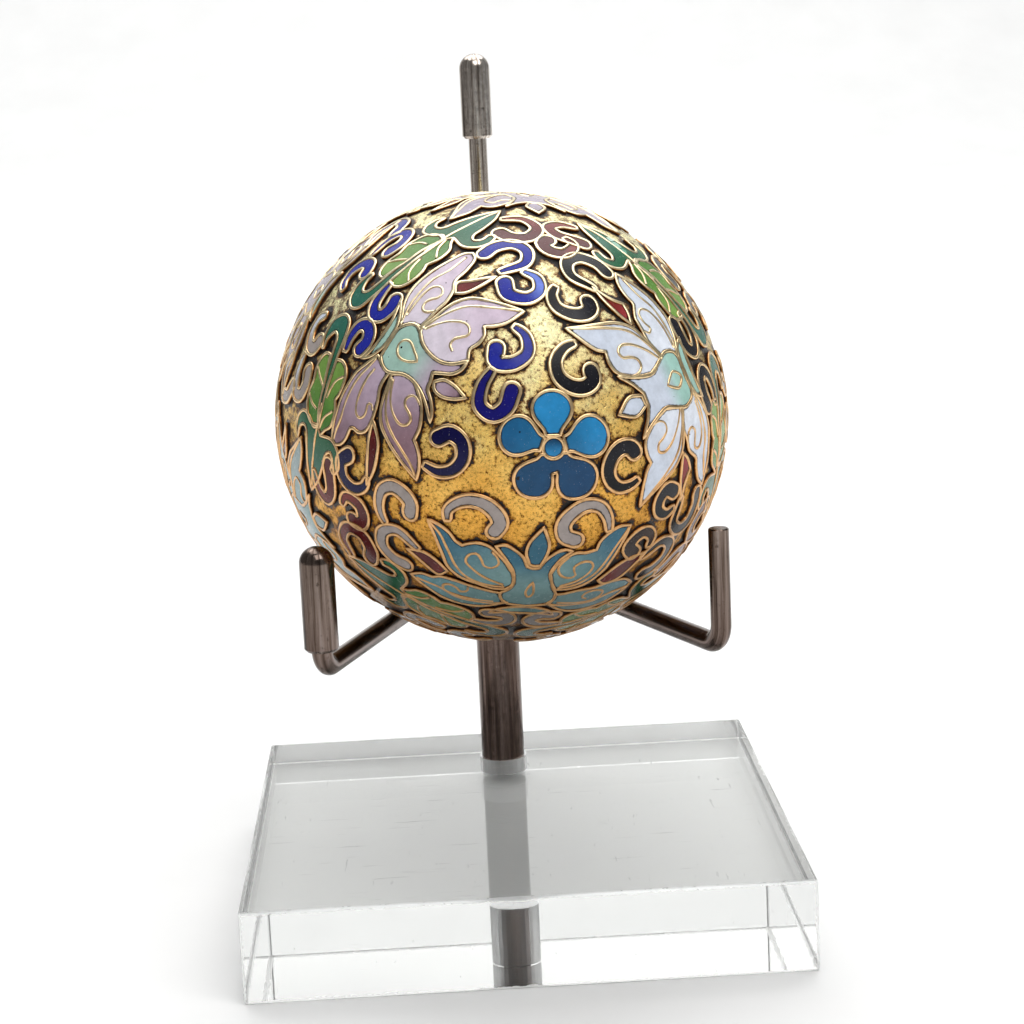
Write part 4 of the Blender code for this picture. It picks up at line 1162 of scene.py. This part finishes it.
# The flaws that catch the eye: two pin-holes, a chip on a petal and a damaged patch on a leaf, each as
# its spot, its place there in mm, its radius in mm and its colour
FLAWS = [((0.0, 0.0), (-2.2, -4.0), 0.15, "#10202C"), ((0.0, 0.0), (3.5, -4.5), 0.26, "#141A20"),
         ((40.3, 142.1), (-0.2, 0.15), 0.17, "#161412"), ((35.5, 20.1), (-18.6, 8.8), 0.7, "#9FC7B4"),
         ((35.5, 20.1), (-17.4, 8.6), 0.6, "#6FAE98"), ((35.5, 20.1), (-19.8, 9.2), 0.5, "#B9D6C8")]
flaws = [(on_egg(wrap([place], spot_frame(*spot)))[0].tolist(), radius * MM, tint)
         for spot, place, radius, tint in FLAWS]
enamel = enamel_finish(flaws)
blunt = [cell for cell in cells if on_blunt_end(wrap(*cell[:2]))]
far = [cell for cell in cells if not on_blunt_end(wrap(*cell[:2]))]
front_enamel = enamel_part("egg_enamel_blunt_end", blunt, enamel)
back_enamel = enamel_part("egg_enamel_far_end", far, enamel)


# %% [markdown]
# ## The gilt ground
#
# The copper between the cells is etched by firing and then gilded, so it is grainy and bright, and
# soot and old polish lie dark along the foot of every wire. The ground is one grid over the whole
# egg. Each of its points knows how far the nearest wire is, and the finish reads that distance.

# %% Ground surface
GROUND_ROWS = 260
GROUND_COLUMNS = 340


def make_ground(finish):
    """Egg grid sunk by the relief: rings of equal polar steps, closed to a point at both ends."""
    polar = np.linspace(0.0, math.pi, GROUND_ROWS + 1)[1:-1]
    azimuth = np.linspace(0.0, 2 * math.pi, GROUND_COLUMNS, endpoint=False)
    rings = egg_points(directions(*np.meshgrid(polar, azimuth, indexing="ij")))
    poles = egg_points(directions(np.array([0.0, math.pi]), np.zeros(2)))
    points = np.concatenate([rings.reshape(-1, 3), poles])
    quads = grid_faces(GROUND_ROWS - 1, GROUND_COLUMNS, round_columns=True)[:, OTHER_WAY].tolist()
    top, bottom = len(points) - 2, len(points) - 1
    last = (GROUND_ROWS - 2) * GROUND_COLUMNS
    beside = [(i, (i + 1) % GROUND_COLUMNS) for i in range(GROUND_COLUMNS)]
    fans = [[top, i, j] for i, j in beside] + [[bottom, last + j, last + i] for i, j in beside]
    edge = np.concatenate([wrap(*cell[:2]) for cell in cells])
    tree = kdtree.KDTree(len(edge))
    for i, place in enumerate(edge.tolist()):
        tree.insert(place, i)
    tree.balance()
    wall = np.array([tree.find(p)[2] for p in points.tolist()]) / MM
    grain = 0.05 * MM * waver(points, 1.1, 3.0)
    return make_piece("egg_gilt_ground", on_egg(points, grain - RELIEF), quads + fans, finish,
                     {"wall": wall})


# %% [markdown]
# ### The ground's finish
#
# Gilding on etched copper is bright grains with brown pits between them. The blunt end has less crust and
# fewer browned pits than the flank, while soot stays in every corner. The distance to the nearest wire, made
# ragged by noise, says where the crust lies. The gold is painted pale on top and amber lower down, and
# darker still on the underside: painted light and shade by height.

# %% Finish of the ground
# Places in mm along the egg between which its cleaner blunt end turns into its browner, more crusted flank
FLANK_FADE = (-47.0, -35.0)


def ground_finish():
    """Gilded copper, matt and grainy from the firing, with black crust by the wires, brown pits, painted
    light on top and painted shade below.
    """
    made, tree, shader, where = blank_material("Gilded fired copper ground")
    wall = attribute(tree, "wall")
    grain = noise(tree, where, 0.42, 5.0, 0.75)
    patch = noise(tree, where, 1.9, 5.0, 0.65)
    broad = noise(tree, where, 6.0, 3.0, 0.6)
    height = axis_share(tree, where, "Z", *GILT_LIGHT_HEIGHTS)
    high = sums(tree, "ADD", height, centred(tree, broad, 0.5))
    # Painted light and shade: the gold runs from amber low on the egg to pale cream on top, by height
    gold = ramp(tree, high, (0.05, "#C48940"), (0.35, "#E4A94C"), (0.60, "#F8CE74"), (0.85, "#FFF3BC"))
    bright = ramp(tree, grain, (0.40, 0.70), (0.56, 1.15))
    gold = shaded(tree, gold, bright)
    pitted = mixed(tree, ramp(tree, grain, (0.36, 1.0), (0.43, 0.0)), gold, linear("#6A3A12"))
    worn = centred(tree, patch, 2.6)
    ragged = centred(tree, grain, 0.9)
    # The ground gains crust and browner pits from the blunt end onto the flank, along Y
    toward_flank = axis_share(tree, where, "Y", *FLANK_FADE)
    crust = sums(tree, "ADD", sums(tree, "ADD", wall, worn), ragged)
    crust = sums(tree, "SUBTRACT", crust, sums(tree, "MULTIPLY", toward_flank, 0.45))
    browned = ramp(tree, noise(tree, where, 1.3, 5.0, 0.75), (0.40, 0.85), (0.52, 0.0))
    pitted = mixed(tree, sums(tree, "MULTIPLY", browned, toward_flank), pitted, linear("#5C3614"))
    stained = ramp(tree, crust, (0.36, 1.0), (0.70, 0.0))
    colour = mixed(tree, stained, pitted, linear("#7A4516"))
    dark = ramp(tree, crust, (0.28, 1.0), (0.42, 0.0))
    colour = mixed(tree, dark, colour, linear("#0E0805"))
    # Painted shade: the ground darkens towards the egg's underside
    colour = under_shade(tree, where, colour, 0.30)
    metal = sums(tree, "SUBTRACT", 1.0, sums(tree, "MULTIPLY", dark, 0.9))
    rough = ramp(tree, grain, (0.3, 0.45), (0.7, 0.22))
    bump = bump_from(tree, grain, 1.0, 0.16)
    set_inputs(tree, shader, {"Base Color": colour, "Metallic": metal, "Roughness": rough, "Normal": bump})
    return made


ground = make_ground(ground_finish())
for piece in (front_wires, back_wires, front_enamel, back_enamel, ground):
    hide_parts("egg")


# %% [markdown]
# ## The stand's wires, post and caps
#
# Three lengths of steel wire are bent cold round a pin, pushed into a thin tube and plated with it,
# and two turned caps are pressed over wire ends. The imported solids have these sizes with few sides,
# so smooth skins made by the same rules stand for them: a circle carried along a route for a wire,
# and a half section turned about an upright axis for the post and the caps.

# %% Sizes of the stand
WIRE_RADIUS = 1.35 * MM
BORE_FIT = 0.1 * MM
POST_AXIS = np.array([-0.9, 26.0, 0.0]) * MM
BUNDLE_RADIUS = 2.82 * MM / math.sqrt(3.0)
BORE_RADIUS = BUNDLE_RADIUS + WIRE_RADIUS + BORE_FIT
POST_RADIUS = BORE_RADIUS + 0.25 * MM
POST_FOOT, POST_TOP, WIRE_FOOT = 4.0 * MM, 41.2 * MM, 26.2 * MM
ARM_HEIGHT, ARM_REACH, BEND_RADIUS = 44.4 * MM, 67.1 * MM, 2.9 * MM
LEFT_TURN, RIGHT_TURN = math.radians(-21.1), math.radians(24.2)
LEFT_RISE, RIGHT_RISE, ROD_TOP = 14.7 * MM, 15.6 * MM, 119.4 * MM
CAP_RADIUS, CAP_BORE, CAP_WALL, CAP_DOME, CAP_RIM = 2.25 * MM, 1.5 * MM, 1.3 * MM, 2.2 * MM, 0.4 * MM
CAP_ABOVE = 1.6 * MM
LEFT_CAP_LENGTH, BACK_CAP_LENGTH = 13.7 * MM, 12.5 * MM
END_ROUND = 0.18 * MM
AXIS_RADIUS = 0.002 * MM
BEND_STEPS, WIRE_SIDES, TURNED_SIDES, DOME_STEPS = 14, 40, 56, 10
SHARP_ANGLE = math.radians(40.0)
UP = np.array([0.0, 0.0, 1.0])


def in_bundle(step):
    """Foot of one of the three wires packed round the post's axis, a third of a turn apart."""
    angle = math.radians(68.0 + 120.0 * step)
    return POST_AXIS + np.array([math.cos(angle), math.sin(angle), 0.0]) * BUNDLE_RADIUS


def arm_corner(turn):
    """Where an arm's level run would meet its upright end, for a turn from the front."""
    return POST_AXIS + np.array([math.sin(turn), -math.cos(turn), 0.0]) * ARM_REACH


# %% Wires: a circle carried along a route
def arm_route(foot, corner, rise):
    """Middle line of an arm: up out of the post, a quarter bend, level out, a quarter bend and up."""
    out = (corner - foot) / np.linalg.norm(corner - foot)
    turn = np.linspace(0.0, math.pi / 2, BEND_STEPS + 1)[:, None]

    def bend(place, before, after):
        centre = place + (after - before) * BEND_RADIUS
        return centre + (before * np.sin(turn) - after * np.cos(turn)) * BEND_RADIUS

    return np.concatenate([[foot + UP * WIRE_FOOT], bend(foot + UP * ARM_HEIGHT, UP, out),
                           bend(corner + UP * ARM_HEIGHT, out, UP), [corner + UP * (ARM_HEIGHT + rise)]]), out


def wire_skin(route, out):
    """Circle across the route at each of its points, its far end eased; the route lies in one plane."""
    along = np.gradient(route, axis=0)
    along /= np.linalg.norm(along, axis=1, keepdims=True)
    far = distances(route)
    ease = along[-1] * END_ROUND
    route = np.concatenate([route[:-1], [route[-1] - ease, route[-1]]])
    along = np.concatenate([along, along[-1:]])
    far = np.concatenate([far, far[-1:] + END_ROUND])
    radius = np.full(len(route), WIRE_RADIUS)
    radius[-1] -= END_ROUND
    side = np.cross(out, UP)
    angle = np.linspace(0.0, 2 * math.pi, WIRE_SIDES, endpoint=False)
    over = np.cross(along, side)
    ring = np.cos(angle)[None, :, None] * side + np.sin(angle)[None, :, None] * over[:, None, :]
    points = route[:, None, :] + ring * radius[:, None, None]
    return points, angle, far


def turned_skin(profile, axis):
    """A half section of (radius, height) turned a full circle about an upright axis."""
    radius, height = np.asarray(profile).T
    radius = np.maximum(radius, AXIS_RADIUS)
    angle = np.linspace(0.0, 2 * math.pi, TURNED_SIDES, endpoint=False)
    ring = np.stack([np.cos(angle), np.sin(angle), np.zeros_like(angle)], axis=1)
    points = axis + ring[None] * radius[:, None, None] + UP * height[:, None, None]
    return points, angle, distances(np.stack([radius, height], axis=1))


def metal_piece(name, node, skin, finish):
    """A skin of rings as a mesh that stands for a node, with its grain running lengthwise."""
    points, angle, far = skin
    rows, columns = points.shape[:2]
    faces = grid_faces(rows, columns, round_columns=True)
    ends = [list(range(columns))[::-1], [(rows - 1) * columns + i for i in range(columns)]]
    grain = np.stack(np.broadcast_arrays(np.cos(angle)[None] * 3.2, np.sin(angle)[None] * 3.2,
                                         far[:, None] / (30.0 * MM), 1.0), axis=-1)
    piece = make_piece(name, points.reshape(-1, 3), faces.tolist() + ends, finish,
                       colours={"grain": grain.reshape(-1, 4)})
    piece.data.set_sharp_from_angle(angle=SHARP_ANGLE)
    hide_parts(node)


def cap_profile(length, foot):
    """Half section of a cap from its domed tip down its side, round its rim and up its bore."""
    turn = np.linspace(0.0, math.pi / 2, DOME_STEPS + 1)
    dome = np.stack([CAP_RADIUS * np.sin(turn), length - CAP_DOME + CAP_DOME * np.cos(turn)], axis=1)
    rest = [(CAP_RADIUS, CAP_RIM), (CAP_RADIUS - CAP_RIM * 0.9, 0.0), (CAP_BORE, 0.0),
            (CAP_BORE, length - CAP_WALL), (0.0, length - CAP_WALL)]
    return np.concatenate([dome, rest]) + (0.0, foot)


# %% [markdown]
# ### The metal's finish
#
# Wire is drawn through a die, which leaves fine lines that follow every bend. A brushed texture in
# space would cut across the bends, so the skins carry coordinates that run along them, and one
# stretched noise makes the lines on straight and bent parts alike.

# %% Finish of the metal
def nickel_finish():
    """Nickel-plated steel, warm in tone: drawn lines along the wire, dull brown spots, rubbed bright streaks,
    painted shade low down.
    """
    made, tree, shader, where = blank_material("Worn nickel plate")
    drawn = add(tree, "ShaderNodeTexNoise", {"Vector": attribute(tree, "grain", "Vector"), "Scale": 1.0,
                                             "Detail": 5.0, "Roughness": 0.7}).outputs["Fac"]
    tone = ramp(tree, drawn, (0.32, "#3A312C"), (0.44, "#A4978C"), (0.54, "#D8CDC2"), (0.66, "#FFFAF3"))
    # Painted shade: the metal goes from its own colour at 115 mm to a darker grey-brown at 40 mm, by height
    painted_low_shade = ramp(tree, axis_share(tree, where, "Z", 40.0, 115.0), (0.0, "#7E7270"), (0.3, "#958B87"),
                   (0.7, "#E0DCD9"), (1.0, "#FFFFFF"))
    tone = shaded(tree, tone, painted_low_shade)
    spot = ramp(tree, noise(tree, where, 0.9, 4.0, 0.7), (0.30, 1.0), (0.40, 0.0))
    tone = mixed(tree, sums(tree, "MULTIPLY", spot, 0.7), tone, linear("#3A302A"))
    rough = ramp(tree, noise(tree, where, 1.1, 4.0, 0.7), (0.3, 0.12), (0.75, 0.30))
    bump = bump_from(tree, drawn, 0.5, 0.05)
    set_inputs(tree, shader, {"Base Color": tone, "Metallic": 1.0, "Roughness": rough, "Normal": bump})
    return made


# %% Make the metal pieces
nickel = nickel_finish()
left, right_end = arm_corner(LEFT_TURN), arm_corner(RIGHT_TURN)
rod = in_bundle(0)
rod_route = np.stack([rod + UP * WIRE_FOOT, rod + UP * ROD_TOP])
metal_piece("left_arm_wire", "left_arm", wire_skin(*arm_route(in_bundle(1), left, LEFT_RISE)), nickel)
metal_piece("right_arm_wire", "right_arm", wire_skin(*arm_route(in_bundle(2), right_end, RIGHT_RISE)), nickel)
metal_piece("back_rod_wire", "back_rod", wire_skin(rod_route, np.array([0.0, -1.0, 0.0])), nickel)
left_foot = ARM_HEIGHT + LEFT_RISE + CAP_ABOVE - LEFT_CAP_LENGTH
back_foot = ROD_TOP + CAP_ABOVE - BACK_CAP_LENGTH
metal_piece("left_cap_turned", "left_cap", turned_skin(cap_profile(LEFT_CAP_LENGTH, left_foot), left), nickel)
metal_piece("back_cap_turned", "back_cap", turned_skin(cap_profile(BACK_CAP_LENGTH, back_foot), rod), nickel)
post_profile = [(BORE_RADIUS, POST_FOOT), (BORE_RADIUS, POST_TOP), (POST_RADIUS - END_ROUND / 2, POST_TOP),
                (POST_RADIUS, POST_TOP - END_ROUND / 2), (POST_RADIUS, POST_FOOT), (BORE_RADIUS, POST_FOOT)]
metal_piece("post_tube", "post", turned_skin(post_profile, POST_AXIS), nickel)


# %% [markdown]
# ## The clear block
#
# The block is cut from cast acrylic and polished. It is clear all through, so its shader only
# refracts. Where the surface is rough it looks white instead: inside the drilled hole, along edges
# that have been knocked, and in fine scratches on its top.

# %% Acrylic
HOLE_RADIUS = 3.65 * MM
HALF_WIDTH, BLOCK_HEIGHT = 38.1 * MM, 12.7 * MM


def acrylic_finish():
    """Cast acrylic sheet, polished: water-clear and refracting, frosted in its hole and on worn edges."""
    made, tree, shader, where = blank_material("Polished cast acrylic")
    apart = add(tree, "ShaderNodeSeparateXYZ", {"Vector": where}).outputs
    x = sums(tree, "SUBTRACT", apart["X"], float(POST_AXIS[0]))
    y = sums(tree, "SUBTRACT", apart["Y"], float(POST_AXIS[1]))
    reach = sums(tree, "SQRT", sums(tree, "ADD", sums(tree, "MULTIPLY", x, x), sums(tree, "MULTIPLY", y, y)))
    drilled = sums(tree, "LESS_THAN", reach, HOLE_RADIUS + BORE_FIT)
    near_x = sums(tree, "SUBTRACT", HALF_WIDTH, sums(tree, "ABSOLUTE", apart["X"]))
    near_y = sums(tree, "SUBTRACT", HALF_WIDTH, sums(tree, "ABSOLUTE", apart["Y"]))
    near_z = sums(tree, "MINIMUM", apart["Z"], sums(tree, "SUBTRACT", BLOCK_HEIGHT, apart["Z"]))
    inside = sums(tree, "GREATER_THAN", near_z, BORE_FIT)
    edges = [sums(tree, "MAXIMUM", one, other)
             for one, other in ((near_x, near_y), (near_y, near_z), (near_x, near_z))]
    to_edge = sums(tree, "MINIMUM", edges[0], sums(tree, "MINIMUM", edges[1], edges[2]))
    wander = sums(tree, "MULTIPLY", noise(tree, where, 2.5, 5.0, 0.75), 1.3 * MM)
    edge = sums(tree, "LESS_THAN", to_edge, sums(tree, "SUBTRACT", wander, 0.25 * MM))
    # Scratches: noise squeezed across one way or the other, so its blotches become long thin lines
    lines, cross = [add(tree, "ShaderNodeVectorMath", {0: where, 1: squeeze}, operation="MULTIPLY").outputs[0]
                    for squeeze in ((1.0, 16.0, 1.0), (12.0, 1.5, 1.0))]
    scratch = sums(tree, "MAXIMUM", ramp(tree, noise(tree, lines, 9.0, 2.0), (0.70, 0.0), (0.73, 0.22)),
                   ramp(tree, noise(tree, cross, 8.0, 2.0), (0.71, 0.0), (0.74, 0.22)))
    haze = sums(tree, "ADD", ramp(tree, noise(tree, where, 9.0, 5.0, 0.7), (0.4, 0.0), (0.8, 0.06)), scratch)
    rough = sums(tree, "ADD", sums(tree, "MULTIPLY", sums(tree, "MULTIPLY", drilled, inside), 0.55), haze)
    rough = sums(tree, "MAXIMUM", rough, sums(tree, "MULTIPLY", edge, 0.45))
    set_inputs(tree, shader, {"Base Color": linear("#FBFCFB"), "Roughness": rough, "IOR": 1.49,
                              "Transmission Weight": 1.0})
    return made


block = nodes["base_block"]
block.data.materials.clear()
block.data.materials.append(acrylic_finish())
